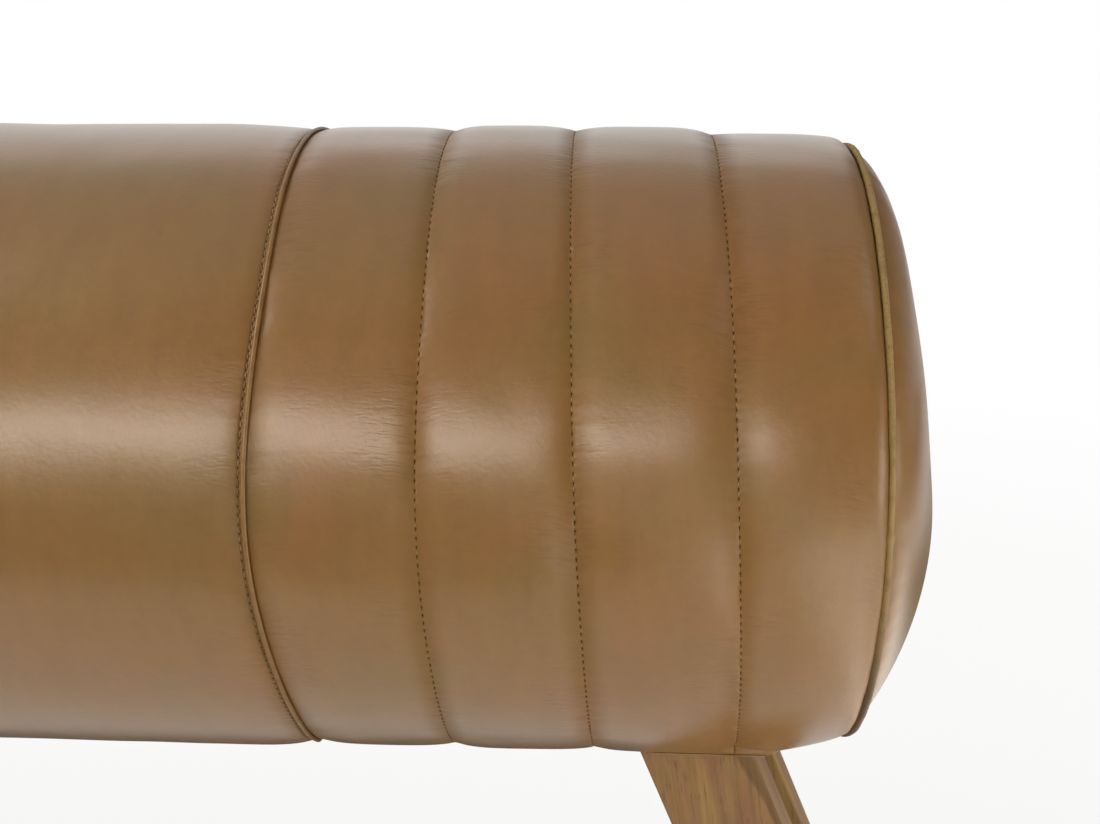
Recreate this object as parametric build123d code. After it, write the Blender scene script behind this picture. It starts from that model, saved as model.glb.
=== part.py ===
from build123d import *
import math
import os

# A long round leather bench on four slanted wooden legs, in millimetres.
# X runs along the bench, the front is on -Y, and the feet stand on Z = 0 with the middle at X = 0, Y = 0.
# Every piece of the body is drawn about the body's own long axis, and is lifted to its height when it is written.

# Overall shape
seat_height = 480.0
body_radius = 150.0
underside_lift = 20.0
centre_panel_length = 500.0
channel_width = 63.5
end_channel_width = 58.1
channels_per_end = 4
crown_rise = 2.5
centre_roll = 40.0
end_crown_lead = 20.0
shoulder_run = 28.0
shoulder_drop = 10.0

# Domed ends
end_ring_radius = 139.0
dome_rise = 38.0
dome_flat_radius = 85.0
dome_flat_curve = 280.0

# Leather, cord in the seams, and the cloth underneath
leather_thickness = 1.6
welt_radius = 2.0
flange_inner_y = 42.0
cap_flange_length = 30.0
dust_cover_thickness = 1.2
dust_cover_half_width = 52.0
dust_cover_end_margin = 12.0

# Padding
wadding_thickness = 6.0
foam_thickness = 18.0
end_pad_edge = 10.6
soft_gap = 0.3

# Wooden frame
board_thickness = 18.0
board_half_width = 63.0
rib_thickness = 15.0
rib_count = 5
slat_thickness = 10.0
slat_count = 11
slat_pitch_deg = 27.0
slat_side_gap = 0.6
block_length = 70.0
block_half_width = 50.0
block_thickness = 22.0

# Legs and feet
leg_side = 48.0
leg_edge_radius = 1.5
leg_splay_deg = 22.7
leg_setback = 68.2
leg_outer_y = 76.0
glide_radius = 15.0
glide_thickness = 5.0
glide_edge = 1.0
glide_nail_radius = 1.5
glide_nail_length = 20.0
glide_nail_head_radius = 4.0
glide_nail_head_height = 1.5
glide_nail_recess = 2.5

# Leg fixings
bolt_radius = 5.0
bolt_head_radius = 8.0
bolt_head_height = 10.0
bolt_socket_radius = 4.0
bolt_socket_depth = 5.0
bolt_end_margin = 2.0
bolt_y = 40.0
washer_radius = 9.0
washer_thickness = 2.0
insert_radius = 7.0
insert_length = 25.0
dowel_radius = 4.0
dowel_in_board = 16.0
dowel_in_leg = 20.0
dowel_y = 57.0
hole_gap = 0.5
fit_gap = 0.1

# Screws, nails and staples
screw_radius = 2.0
screw_length = 45.0
screw_head_radius = 4.0
screw_head_height = 2.6
screw_y = 34.0
nail_radius = 1.2
nail_length = 30.0
nail_head_radius = 2.6
nail_head_height = 0.8
staple_crown = 11.0
staple_wire = 1.0
staple_leg = 9.0
staple_y = 47.0
staple_end_y = 30.0
staple_end_inset = 15.0
staple_leg_margin = 24.0
staples_per_side = 11
staples_per_end = 4

# How far a cutting shape runs past what it cuts
overrun = 5.0

# Places worked out from the sizes above
axis_height = seat_height - body_radius
underside_drop = body_radius - underside_lift
seam_radius = body_radius - crown_rise
welt_x = centre_panel_length / 2
seam_xs = [welt_x + n * channel_width for n in range(channels_per_end)]
end_ring_x = seam_xs[-1] + end_channel_width
welt_centre_radius = seam_radius - leather_thickness + welt_radius
cap_rim_radius = end_ring_radius - welt_radius - fit_gap
cap_rim_x = end_ring_x + welt_radius / 2
underside_z = -underside_drop
board_bottom_z = underside_z + leather_thickness
board_top_z = board_bottom_z + board_thickness
frame_half = end_ring_x - end_pad_edge
wadding_inset = leather_thickness + soft_gap
foam_radius = seam_radius - wadding_inset - wadding_thickness
foam_inner_radius = foam_radius - foam_thickness
end_pad_radius = cap_rim_radius - soft_gap
slat_corner_radius = foam_inner_radius - soft_gap
slat_half_turn = math.radians(slat_pitch_deg / 2)
corner_share = 1 + math.tan(slat_half_turn) ** 2
rib_apothem = (
    math.sqrt(slat_thickness**2 - corner_share * (slat_thickness**2 - slat_corner_radius**2)) - slat_thickness
) / corner_share
slat_width = 2 * rib_apothem * math.tan(slat_half_turn) - slat_side_gap
rib_foot_y = math.sqrt(slat_corner_radius**2 - board_top_z**2)
slat_turns = [slat_pitch_deg * (n - (slat_count - 1) / 2) for n in range(slat_count)]
rib_xs = [(frame_half - rib_thickness / 2) * (2 * n / (rib_count - 1) - 1) for n in range(rib_count)]
splay_slope = math.tan(math.radians(leg_splay_deg))
leg_run = leg_side / math.cos(math.radians(leg_splay_deg))
leg_top_x = end_ring_x - leg_setback
leg_bottom_z = glide_thickness - axis_height
leg_mid_y = leg_outer_y - leg_side / 2
foot_x = leg_top_x + splay_slope * (board_bottom_z - leg_bottom_z)
bolt_x = leg_top_x + splay_slope * insert_length / 2
block_top_z = board_top_z + block_thickness
ENDS = {"left": -1, "right": 1}
SIDES = {"front": -1, "rear": 1}


def box(x_range, y_range, z_range):
    """A block between two places on each axis."""
    low = [min(r) for r in (x_range, y_range, z_range)]
    size = [abs(r[1] - r[0]) for r in (x_range, y_range, z_range)]
    return Pos(*low) * Box(*size, align=(Align.MIN, Align.MIN, Align.MIN))


def spun(edges, start, end):
    """The outline between start and end, closed down to the long axis and turned a full circle about it."""
    closing = [
        Line(start, (start[0], 0)),
        Line((start[0], 0), (end[0], 0)),
        Line((end[0], 0), end),
    ]
    return revolve(Plane.XZ * make_face(edges + closing), Axis.X, 360)


def channel_bounds(n):
    """Where channel n starts and ends along X, clear of the cord in the seam at either side."""
    start = seam_xs[n] + (welt_radius if n == 0 else 0)
    if n == channels_per_end - 1:
        return start, end_ring_x - welt_radius - fit_gap
    return start, seam_xs[n + 1]


def centre_outline(inset):
    """The middle panel's outside line: level, and rolled down to the seam at both ends."""
    edge, level = welt_x - welt_radius, welt_x - centre_roll
    top, low = body_radius - inset, seam_radius - inset
    rolls = [TangentArc((s * level, top), (s * edge, low), tangent=(s, 0)) for s in (-1, 1)]
    return rolls + [Line((-level, top), (level, top))]


def channel_outline(sign, n, inset):
    """One channel's outside line: a crown between its seams, and on the last one a shoulder down to the end."""
    start, end = channel_bounds(n)
    top, low = body_radius - inset, seam_radius - inset
    if n < channels_per_end - 1:
        return [ThreePointArc((sign * start, low), (sign * (start + end) / 2, top), (sign * end, low))]
    crown, shoulder = start + end_crown_lead, end - shoulder_run
    return [
        TangentArc((sign * crown, top), (sign * start, low), tangent=(-sign, 0)),
        Line((sign * crown, top), (sign * shoulder, top)),
        TangentArc((sign * shoulder, top), (sign * end, top - shoulder_drop), tangent=(sign, 0)),
    ]


def channel_solid(sign, n, inset):
    """The round block that one channel's outside line encloses."""
    start, end = channel_bounds(n)
    low = seam_radius - inset
    end_radius = low if n < channels_per_end - 1 else body_radius - inset - shoulder_drop
    return spun(channel_outline(sign, n, inset), (sign * start, low), (sign * end, end_radius))


def centre_solid(inset):
    """The round block that the middle panel's outside line encloses."""
    edge, low = welt_x - welt_radius, seam_radius - inset
    return spun(centre_outline(inset), (-edge, low), (edge, low))


def body_solid(inset):
    """The whole fluted body between its end seams, drawn inset nearer the axis."""
    low = seam_radius - inset
    edges = centre_outline(inset)
    for sign in (-1, 1):
        edges.append(Line((sign * (welt_x - welt_radius), low), (sign * (welt_x + welt_radius), low)))
        for n in range(channels_per_end):
            edges += channel_outline(sign, n, inset)
    end_x = channel_bounds(channels_per_end - 1)[1]
    end_radius = body_radius - inset - shoulder_drop
    return spun(edges, (-end_x, end_radius), (end_x, end_radius))


def dome_solid(sign, back_x, inset):
    """A domed end from back_x outwards: a gentle arc in the middle and a tighter one out to its rim."""
    flat_slope = math.asin(dome_flat_radius / dome_flat_curve)
    flat_drop = dome_flat_curve * (1 - math.cos(flat_slope))
    rim_slope = 2 * math.atan2(dome_rise - flat_drop, cap_rim_radius - dome_flat_radius) - flat_slope
    half_slope = flat_slope / 2
    tip, rim = cap_rim_x + dome_rise - inset, cap_rim_x - inset
    rim_curve = (cap_rim_radius - dome_flat_radius) / (math.sin(rim_slope) - math.sin(flat_slope))
    mid_slope = (flat_slope + rim_slope) / 2
    mid_radius = dome_flat_radius + rim_curve * (math.sin(mid_slope) - math.sin(flat_slope))
    mid_drop = flat_drop + rim_curve * (math.cos(flat_slope) - math.cos(mid_slope))
    points = {
        "tip": (tip, 0),
        "near": (tip - dome_flat_curve * (1 - math.cos(half_slope)), dome_flat_curve * math.sin(half_slope)),
        "join": (tip - flat_drop, dome_flat_radius),
        "mid": (tip - mid_drop, mid_radius),
        "rim": (rim, cap_rim_radius),
        "back": (back_x, cap_rim_radius),
        "axis": (back_x, 0),
    }
    p = {name: (sign * x, r) for name, (x, r) in points.items()}
    edges = [
        ThreePointArc(p["tip"], p["near"], p["join"]),
        ThreePointArc(p["join"], p["mid"], p["rim"]),
        Line(p["rim"], p["back"]),
        Line(p["back"], p["axis"]),
        Line(p["axis"], p["tip"]),
    ]
    return revolve(Plane.XZ * make_face(edges), Axis.X, 360)


def below(z):
    """Everything under a level of the body, to be cut away."""
    reach = end_ring_x + dome_rise + overrun
    return box((-reach, reach), (-body_radius - overrun, body_radius + overrun), (z, -body_radius - overrun))


def cord_ring(x, radius):
    """A leather covered cord that follows a seam round the body and ends at the underside."""
    circle = Plane.XZ * (Pos(x, radius) * Circle(welt_radius))
    arc = 360 - 2 * math.degrees(math.acos(underside_drop / (radius + welt_radius)))
    return Rot(-arc / 2, 0, 0) * revolve(circle, Axis.X, arc)


def leg_solid(end, side, grow, top_z):
    """A square leg that slants outwards along X, cut level at the top and at the foot."""
    top_x = leg_top_x + splay_slope * (board_bottom_z - top_z)
    half = leg_run / 2 + grow
    corners = [
        (end * (top_x - half), top_z),
        (end * (top_x + half), top_z),
        (end * (foot_x + half), leg_bottom_z),
        (end * (foot_x - half), leg_bottom_z),
    ]
    face = Plane.XZ * make_face(Polyline(*corners, close=True))
    leg = extrude(face, amount=leg_side / 2 + grow, both=True)
    return Pos(0, side * leg_mid_y, 0) * leg


LEG_PLACES = [(end, side) for end in ENDS.values() for side in SIDES.values()]


def leg_notches():
    """The room that the four legs need where they pass the leather and the cloth underneath."""
    return [leg_solid(end, side, soft_gap, board_bottom_z + soft_gap) for end, side in LEG_PLACES]


def staple_places():
    """Each staple's middle and whether it lies along X: two long rows, and a short row at each end."""
    reach = leg_top_x - leg_run / 2 - staple_leg_margin
    spread = [2 * n / (staples_per_side - 1) - 1 for n in range(staples_per_side)]
    places = [(share * reach, side * staple_y, True) for share in spread for side in (-1, 1)]
    across = [2 * n / (staples_per_end - 1) - 1 for n in range(staples_per_end)]
    end_x = frame_half - staple_end_inset
    return places + [(end * end_x, share * staple_end_y, False) for end in (-1, 1) for share in across]


def staple(place, grow):
    """A wire staple driven up through cloth and leather into the board."""
    x, y, along = place
    top = underside_z - dust_cover_thickness
    half, wire = staple_crown / 2 + grow, staple_wire / 2 + grow
    crown = box((-half, half), (-wire, wire), (top - staple_wire, top))
    legs = [
        Pos(s * (staple_crown - staple_wire) / 2, 0, 0)
        * box((-wire, wire), (-wire, wire), (top - staple_wire / 2, top + staple_leg + grow))
        for s in (-1, 1)
    ]
    return Pos(x, y, 0) * Rot(0, 0, 0 if along else 90) * (crown + legs)


def staple_holes(x_low, x_high):
    """Holes for the staples whose middle lies between two places along X."""
    reach = staple_crown
    return [staple(p, fit_gap / 2) for p in staple_places() if x_low - reach < p[0] < x_high + reach]


def leather_shell(outer, inner, x_low, x_high):
    """A leather panel: a thin shell, cut off at the underside and turned in beneath the board at both sides."""
    shell = outer - inner - below(underside_z)
    strips = [
        box((x_low, x_high), (side * flange_inner_y, side * body_radius), (underside_z, board_bottom_z))
        for side in (-1, 1)
    ]
    for strip in strips:
        shell = shell + (outer & strip)
    cuts = staple_holes(x_low, x_high)
    if max(abs(x_low), abs(x_high)) > leg_top_x - leg_run:
        cuts = cuts + leg_notches()
    return shell - cuts


def make_centre_panel():
    return leather_shell(centre_solid(0), centre_solid(leather_thickness), -welt_x, welt_x)


def make_channel(end, n):
    start, stop = sorted(end * x for x in channel_bounds(n))
    return leather_shell(channel_solid(end, n, 0), channel_solid(end, n, leather_thickness), start, stop)


def make_end_cap(end):
    """The domed end skin with a tongue turned in beneath the end of the board."""
    tongue_x = frame_half - cap_flange_length
    skin = dome_solid(end, cap_rim_x - leather_thickness, 0) - dome_solid(end, frame_half, leather_thickness)
    skin = skin - below(underside_z)
    half = flange_inner_y - soft_gap
    reach = end_ring_x + dome_rise
    strip = box((end * tongue_x, end * reach), (-half, half), (underside_z, board_bottom_z))
    skin = skin + (dome_solid(end, tongue_x, 0) & strip)
    return skin - staple_holes(*sorted((end * tongue_x, end * reach)))


def make_wadding():
    """The soft layer under the leather, with the channels' crowns in its outside."""
    floor_z = board_bottom_z + soft_gap
    wall = board_half_width + soft_gap
    long_reach, end_reach = frame_half + soft_gap, end_ring_x + dome_rise
    side_reach = frame_half - soft_gap
    core = Rot(0, 90, 0) * Cylinder(foam_radius + soft_gap, 2 * long_reach)
    end_core = Rot(0, 90, 0) * Cylinder(end_pad_radius + soft_gap, 2 * end_reach)
    board = box((-long_reach, long_reach), (-wall, wall), (board_top_z + soft_gap, -body_radius))
    core = (core + end_core) - below(board_top_z - soft_gap)
    middle = box((-side_reach, side_reach), (-body_radius, body_radius), (-body_radius, body_radius))
    return body_solid(wadding_inset) - core - board - (end_core - middle) - below(floor_z)


def make_foam_wrap():
    length = 2 * frame_half
    tube = Rot(0, 90, 0) * (Cylinder(foam_radius, length) - Cylinder(foam_inner_radius, length))
    return tube - below(board_top_z)


def make_end_foam(end):
    pad = dome_solid(end, frame_half, wadding_inset)
    pad = pad & (Rot(0, 90, 0) * Cylinder(end_pad_radius, 2 * (end_ring_x + dome_rise)))
    return pad - below(board_bottom_z + soft_gap)


def make_slat(turn):
    """A board on one flat of the ribs, given by its turn from the top, with a hole for a nail at every rib."""
    board = box(
        (-frame_half, frame_half),
        (-slat_width / 2, slat_width / 2),
        (rib_apothem, rib_apothem + slat_thickness),
    )
    return Rot(turn, 0, 0) * board - nail_holes(turn)


def nail(x, turn, grow):
    """A flat-headed nail through a slat into a rib."""
    top = rib_apothem + slat_thickness
    shank = Pos(0, 0, top - nail_length / 2) * Cylinder(nail_radius + grow, nail_length)
    head = Pos(0, 0, top + nail_head_height / 2) * Cylinder(nail_head_radius, nail_head_height)
    return Rot(turn, 0, 0) * (Pos(x, 0, 0) * (shank + head))


def nail_holes(turn):
    return [nail(x, turn, fit_gap / 2) for x in rib_xs]


def make_rib(x):
    """A plywood former with a flat for each slat, drawn in below them to a foot that stands on the board."""
    corner = rib_apothem / math.cos(slat_half_turn)
    turns = [math.radians(t - slat_pitch_deg / 2) for t in slat_turns]
    turns.append(math.radians(slat_turns[-1] + slat_pitch_deg / 2))
    rim = [(corner * math.sin(t), corner * math.cos(t)) for t in turns]
    foot = [(rib_foot_y, board_top_z), (-rib_foot_y, board_top_z)]
    face = Plane.YZ * make_face(Polyline(*rim, *foot, close=True))
    rib = Pos(x, 0, 0) * extrude(face, amount=rib_thickness / 2, both=True)
    holes = [nail(x, turn, fit_gap / 2) for turn in slat_turns]
    return rib - holes - [rib_screw(x, s * screw_y, fit_gap / 2) for s in (-1, 1)]


def rib_screw(x, y, grow):
    """A countersunk screw driven up through the board into a rib."""
    shank = Pos(0, 0, screw_length / 2) * Cylinder(screw_radius + grow, screw_length)
    head = Pos(0, 0, screw_head_height / 2) * Cone(
        screw_head_radius + grow, screw_radius + grow, screw_head_height
    )
    return Pos(x, y, board_bottom_z) * (shank + head)


def upright(radius, x, y, low, high):
    """A round rod or hole standing between two levels."""
    return Pos(x, y, (low + high) / 2) * Cylinder(radius, high - low)


def make_base_board():
    board = box(
        (-frame_half, frame_half), (-board_half_width, board_half_width), (board_bottom_z, board_top_z)
    )
    holes = [rib_screw(x, s * screw_y, fit_gap / 2) for x in rib_xs for s in (-1, 1)]
    for end, side in LEG_PLACES:
        x, dowel_top = end * bolt_x, board_bottom_z + dowel_in_board
        holes.append(upright(bolt_radius + hole_gap, x, side * bolt_y, board_bottom_z, board_top_z))
        holes.append(upright(dowel_radius + fit_gap, x, side * dowel_y, board_bottom_z, dowel_top))
    return board - holes - staple_holes(-frame_half, frame_half)


def make_leg_block(end):
    """A hardwood block that spreads the pull of the two leg bolts over the board."""
    middle = end * bolt_x
    block = box(
        (middle - block_length / 2, middle + block_length / 2),
        (-block_half_width, block_half_width),
        (board_top_z, block_top_z),
    )
    holes = [
        upright(bolt_radius + hole_gap, middle, side * bolt_y, board_top_z, block_top_z) for side in (-1, 1)
    ]
    return block - holes


def make_leg(end, side):
    leg = leg_solid(end, side, 0, board_bottom_z)
    long_edges = leg.edges().filter_by(lambda e: abs(e.tangent_at(0).Z) > abs(e.tangent_at(0).X))
    leg = fillet(long_edges, leg_edge_radius)
    x = end * bolt_x
    insert_hole = upright(
        insert_radius + fit_gap, x, side * bolt_y, board_bottom_z - insert_length - fit_gap, board_bottom_z
    )
    dowel_hole = upright(
        dowel_radius + fit_gap, x, side * dowel_y, board_bottom_z - dowel_in_leg - fit_gap, board_bottom_z
    )
    nail_hole = upright(
        glide_nail_radius + fit_gap / 2,
        end * foot_x,
        side * leg_mid_y,
        leg_bottom_z,
        leg_bottom_z + glide_nail_length,
    )
    return leg - insert_hole - dowel_hole - nail_hole


def leg_bolt(end, side):
    head_z = block_top_z + washer_thickness
    x, y = end * bolt_x, side * bolt_y
    tip_z = board_bottom_z - insert_length + bolt_end_margin
    head_top = head_z + bolt_head_height
    socket = Pos(x, y, head_top - bolt_socket_depth) * extrude(
        RegularPolygon(bolt_socket_radius, 6), bolt_socket_depth
    )
    return (
        upright(bolt_radius, x, y, tip_z, head_z) + upright(bolt_head_radius, x, y, head_z, head_top) - socket
    )


def leg_washer(end, side):
    x, y, top = end * bolt_x, side * bolt_y, block_top_z + washer_thickness
    return upright(washer_radius, x, y, block_top_z, top) - upright(
        bolt_radius + hole_gap, x, y, block_top_z, top
    )


def leg_insert(end, side):
    x, y, low = end * bolt_x, side * bolt_y, board_bottom_z - insert_length
    return upright(insert_radius, x, y, low, board_bottom_z) - upright(
        bolt_radius + fit_gap, x, y, low, board_bottom_z
    )


def leg_dowel(end, side):
    low, high = board_bottom_z - dowel_in_leg, board_bottom_z + dowel_in_board
    return upright(dowel_radius, end * bolt_x, side * dowel_y, low, high)


def glide_nail(end, side, grow):
    """The nail that holds a foot glide, with its head sunk into the glide."""
    x, y = end * foot_x, side * leg_mid_y
    head_top = leg_bottom_z - glide_thickness + glide_nail_recess
    tip_z = leg_bottom_z + glide_nail_length
    shank = upright(glide_nail_radius + grow, x, y, head_top, tip_z)
    head = upright(glide_nail_head_radius + grow, x, y, head_top - glide_nail_head_height, head_top)
    return shank + head


def make_glide(end, side):
    """A round plastic glide nailed under a foot."""
    x, y = end * foot_x, side * leg_mid_y
    floor_z = leg_bottom_z - glide_thickness
    disc = upright(glide_radius, x, y, floor_z, leg_bottom_z)
    disc = chamfer(disc.edges().filter_by(GeomType.CIRCLE).sort_by(Axis.Z)[0], glide_edge)
    recess_top = floor_z + glide_nail_recess
    recess = upright(glide_nail_head_radius + fit_gap / 2, x, y, floor_z, recess_top)
    return disc - recess - glide_nail(end, side, fit_gap / 2)


def make_dust_cover():
    reach = frame_half - dust_cover_end_margin
    cloth = box(
        (-reach, reach),
        (-dust_cover_half_width, dust_cover_half_width),
        (underside_z - dust_cover_thickness, underside_z),
    )
    return cloth - leg_notches() - staple_holes(-frame_half, frame_half)


def group(solids):
    """Separate solids that share one node."""
    return Compound(children=list(solids))


def build():
    """Every node by name, about the body's long axis."""
    nodes = {
        "base_board": make_base_board(),
        "wadding_wrap": make_wadding(),
        "foam_wrap": make_foam_wrap(),
        "leather_centre_panel": make_centre_panel(),
        "dust_cover": make_dust_cover(),
        "leg_bolts": group(leg_bolt(*place) for place in LEG_PLACES),
        "leg_bolt_washers": group(leg_washer(*place) for place in LEG_PLACES),
        "leg_inserts": group(leg_insert(*place) for place in LEG_PLACES),
        "leg_dowels": group(leg_dowel(*place) for place in LEG_PLACES),
        "glide_nails": group(glide_nail(*place, 0) for place in LEG_PLACES),
        "rib_screws": group(rib_screw(x, s * screw_y, 0) for x in rib_xs for s in (-1, 1)),
        "slat_nails": group(nail(x, turn, 0) for turn in slat_turns for x in rib_xs),
        "staples": group(staple(place, 0) for place in staple_places()),
    }
    for n, turn in enumerate(slat_turns, 1):
        nodes[f"slat_{n:02d}"] = make_slat(turn)
    for n, x in enumerate(rib_xs[1:-1], 1):
        nodes[f"rib_{n}"] = make_rib(x)
    for name, end in ENDS.items():
        nodes[f"end_bulkhead_{name}"] = make_rib(rib_xs[0] if end < 0 else rib_xs[-1])
        nodes[f"leg_block_{name}"] = make_leg_block(end)
        nodes[f"end_foam_{name}"] = make_end_foam(end)
        nodes[f"end_cap_{name}"] = make_end_cap(end)
        nodes[f"seam_cord_{name}"] = cord_ring(end * welt_x, welt_centre_radius)
        nodes[f"end_cord_{name}"] = cord_ring(end * end_ring_x, end_ring_radius)
        for n in range(channels_per_end):
            nodes[f"channel_{name}_{n + 1}"] = make_channel(end, n)
        for side_name, side in SIDES.items():
            nodes[f"leg_{side_name}_{name}"] = make_leg(end, side)
            nodes[f"foot_glide_{side_name}_{name}"] = make_glide(end, side)
    return nodes


os.makedirs("parts", exist_ok=True)
for node, shape in build().items():
    export_step(Pos(0, 0, axis_height) * shape, f"parts/{node}.step")
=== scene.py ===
import math
from functools import partial

import bpy
import numpy as np
from mathutils import Matrix, Vector


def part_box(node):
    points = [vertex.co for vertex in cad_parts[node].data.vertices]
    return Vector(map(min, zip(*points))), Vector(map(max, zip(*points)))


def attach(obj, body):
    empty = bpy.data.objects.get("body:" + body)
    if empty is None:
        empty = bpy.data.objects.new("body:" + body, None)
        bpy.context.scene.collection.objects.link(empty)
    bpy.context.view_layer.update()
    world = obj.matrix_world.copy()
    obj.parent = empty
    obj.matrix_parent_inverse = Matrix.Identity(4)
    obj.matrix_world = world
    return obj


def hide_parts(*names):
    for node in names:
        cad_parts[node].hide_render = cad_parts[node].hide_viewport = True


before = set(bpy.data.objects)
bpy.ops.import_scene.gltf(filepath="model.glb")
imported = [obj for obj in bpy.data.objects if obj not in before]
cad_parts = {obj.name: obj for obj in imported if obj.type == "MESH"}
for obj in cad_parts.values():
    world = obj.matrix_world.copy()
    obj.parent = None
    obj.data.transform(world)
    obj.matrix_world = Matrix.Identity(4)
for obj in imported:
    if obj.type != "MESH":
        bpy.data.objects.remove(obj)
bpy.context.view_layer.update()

bl_info = {
    "name": "Round leather bench",
    "version": (1, 0, 0),
    "blender": (4, 5, 0),
    "location": "View3D > Sidebar > Bench",
    "description": "Leather, padding, stitching, wood and studio for a long round bench on slanted legs",
    "category": "Object",
}

# Everything is in metres. X runs along the bench, the front is on -Y, and the feet stand on Z = 0.
# The body is drawn about its own long axis, in sections across it: a round back, a small corner and a flat
# underside. along is a length of leather round that section from its top, below zero at the front.
MM = 0.001

ENDS = {"left": -1, "right": 1}
SIDES = {"front": -1, "rear": 1}


def node_box(name):
    """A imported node's lowest and highest corner."""
    low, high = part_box(name)
    return Vector(low), Vector(high)


CENTRE_LOW, CENTRE_HIGH = node_box("leather_centre_panel")
BOARD_HIGH = node_box("base_board")[1]
COVER_HIGH = node_box("dust_cover")[1]
LEG_LOW, LEG_HIGH = node_box("leg_front_right")
CHANNEL_LOW, CHANNEL_HIGH = node_box("channel_right_2")
CORD_LOW, CORD_HIGH = node_box("seam_cord_right")
END_CORD_LOW, END_CORD_HIGH = node_box("end_cord_right")
RADIUS = CENTRE_HIGH.y
AXIS_Z = CENTRE_HIGH.z - RADIUS
UNDERSIDE_DROP = AXIS_Z - CENTRE_LOW.z
WELT_X = (CORD_LOW.x + CORD_HIGH.x) / 2
END_RING_X = (END_CORD_LOW.x + END_CORD_HIGH.x) / 2
CHANNELS = 4


def leg_tilt():
    """How far a leg slants out of upright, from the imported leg's box and its square section.

    The box is as wide as the leg's height times the tilt's tangent, plus its side over the tilt's cosine.
    """
    side, tall, wide = LEG_HIGH.y - LEG_LOW.y, LEG_HIGH.z - LEG_LOW.z, LEG_HIGH.x - LEG_LOW.x
    return math.acos(side / math.hypot(tall, wide)) - math.atan2(tall, wide)


LEG_TILT = leg_tilt()
# A leg's length along X where it is cut level, and how far the leather that is cut round it stays clear.
LEG_RUN = (LEG_HIGH.y - LEG_LOW.y) / math.cos(LEG_TILT)
LEG_GAP = 0.15 * MM


# Sizes and colours that a user would change


def length(name, description, default):
    return bpy.props.FloatProperty(
        name=name, description=description, default=default, unit="LENGTH", precision=5
    )


def colour(hex_code):
    """A colour written as a web hex code, as the linear values that shaders use."""
    parts = [int(hex_code[n : n + 2], 16) / 255 for n in (1, 3, 5)]
    return tuple(p / 12.92 if p <= 0.04045 else ((p + 0.055) / 1.055) ** 2.4 for p in parts)


def tint(name, description, hex_code):
    return bpy.props.FloatVectorProperty(
        name=name, description=description, default=colour(hex_code), subtype="COLOR", size=3, min=0, max=1
    )


class BenchSizes(bpy.types.PropertyGroup):
    body_radius: length("Body radius", "Round body, from its axis to the crowns", RADIUS)
    underside_drop: length("Underside", "From the body's axis down to the flat underside", UNDERSIDE_DROP)
    corner_radius: length("Lower corner", "Round corner where the skin turns under", 12 * MM)
    flange_y: length("Turned in to", "Half the gap between the turned-in edges underneath", 42 * MM)
    leather: length("Leather", "Thickness of the hide", 1.6 * MM)
    channel_width: length("Channel", "From seam to seam", CHANNEL_HIGH.x - CHANNEL_LOW.x)
    valley_depth: length("Valley", "How deep the sewn valleys lie below the crowns", 2.1 * MM)
    valley_reach: length("Valley reach", "How far a valley spreads to each side", 7.5 * MM)
    fold_radius: length("Fold", "Round edge where a panel folds down into its seam", 0.22 * MM)
    stitch_pitch: length("Stitch", "From one needle hole to the next", 3.86 * MM)
    welt_radius: length("Welt", "Thin cord between the middle panel and the first channel", 1.0 * MM)
    lip_width: length("Lip", "Edge of the middle panel beyond its stitch row", 1.2 * MM)
    end_cord_radius: length("End cord", "Cord round the domed end, at its thinnest", 1.3 * MM)
    end_ring_radius: length("End ring", "Radius at which the domed end is sewn on", 138 * MM)
    end_ring_lift: length("End ring lift", "How far its middle lies above the body's axis", 3.3 * MM)
    dome_rise: length("Dome", "Rise of the domed end, without its rim", 28.1 * MM)
    dome_rim: length("Dome rim", "Rise of the dome in its first few millimetres", 9.5 * MM)
    dome_sag: length("Dome sag", "How far the dome's top hangs below the body's axis", 6.1 * MM)


class BenchColours(bpy.types.PropertyGroup):
    hide: tint("Hide", "Main tan of the waxed leather", "#805B27")
    hide_rose: tint("Hide, rubbed", "Redder patches where the wax has worn", "#85592B")
    hide_olive: tint("Hide, olive", "Duller greenish tan between them", "#7A5D2A")
    # Painted shade in creases, seams, valleys, needle holes and low on the end cord, and real stains on the
    # cords.
    hide_shade_and_dirt: tint("Hide, in seams", "Dirt and old wax in folds and needle holes", "#40290F")
    thread: tint("Thread", "Waxed linen thread", "#92784C")
    cord: tint("Cord", "Scuffed leather over the cords", "#9A8054")
    wood: tint("Leg wood", "Yellow side of the oiled hardwood", "#927645")
    wood_red: tint("Leg wood, red", "Redder side of the oiled hardwood", "#866149")
    # Also the colour of the shadow painted along each leg's outer arris, under the body.
    wood_pore: tint("Leg wood, pores", "Open pores and dark streaks", "#523B24")
    plywood: tint("Plywood", "Face of birch plywood", "#C9A775")
    pine: tint("Pine", "Planed softwood slats", "#D2AC72")
    beech: tint("Beech", "Steamed beech", "#B98A61")
    foam: tint("Foam", "Yellowed cushion foam", "#D9C68E")
    wadding: tint("Wadding", "White polyester wadding", "#E6E3DA")
    cloth: tint("Dust cloth", "Black woven cover cloth", "#1B1A1A")
    steel: tint("Steel", "Zinc plated steel", "#A9ACAE")
    brass: tint("Brass", "Turned brass", "#A98444")
    plastic: tint("Glide", "Moulded dark brown plastic", "#2B211B")


# Shapes


def corner_middle(size, radius):
    """Half width and turn of the round corner: where its middle lies, and the angle that it covers."""
    level = size.underside_drop - size.corner_radius
    middle = np.sqrt(np.square(radius - size.corner_radius) - level**2)
    return middle, np.arctan2(middle, level)


def section_runs(size):
    """Length of skin from the top to the lower corner, and round that corner."""
    _, turn = corner_middle(size, size.body_radius)
    return size.body_radius * (math.pi - turn), size.corner_radius * turn


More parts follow.
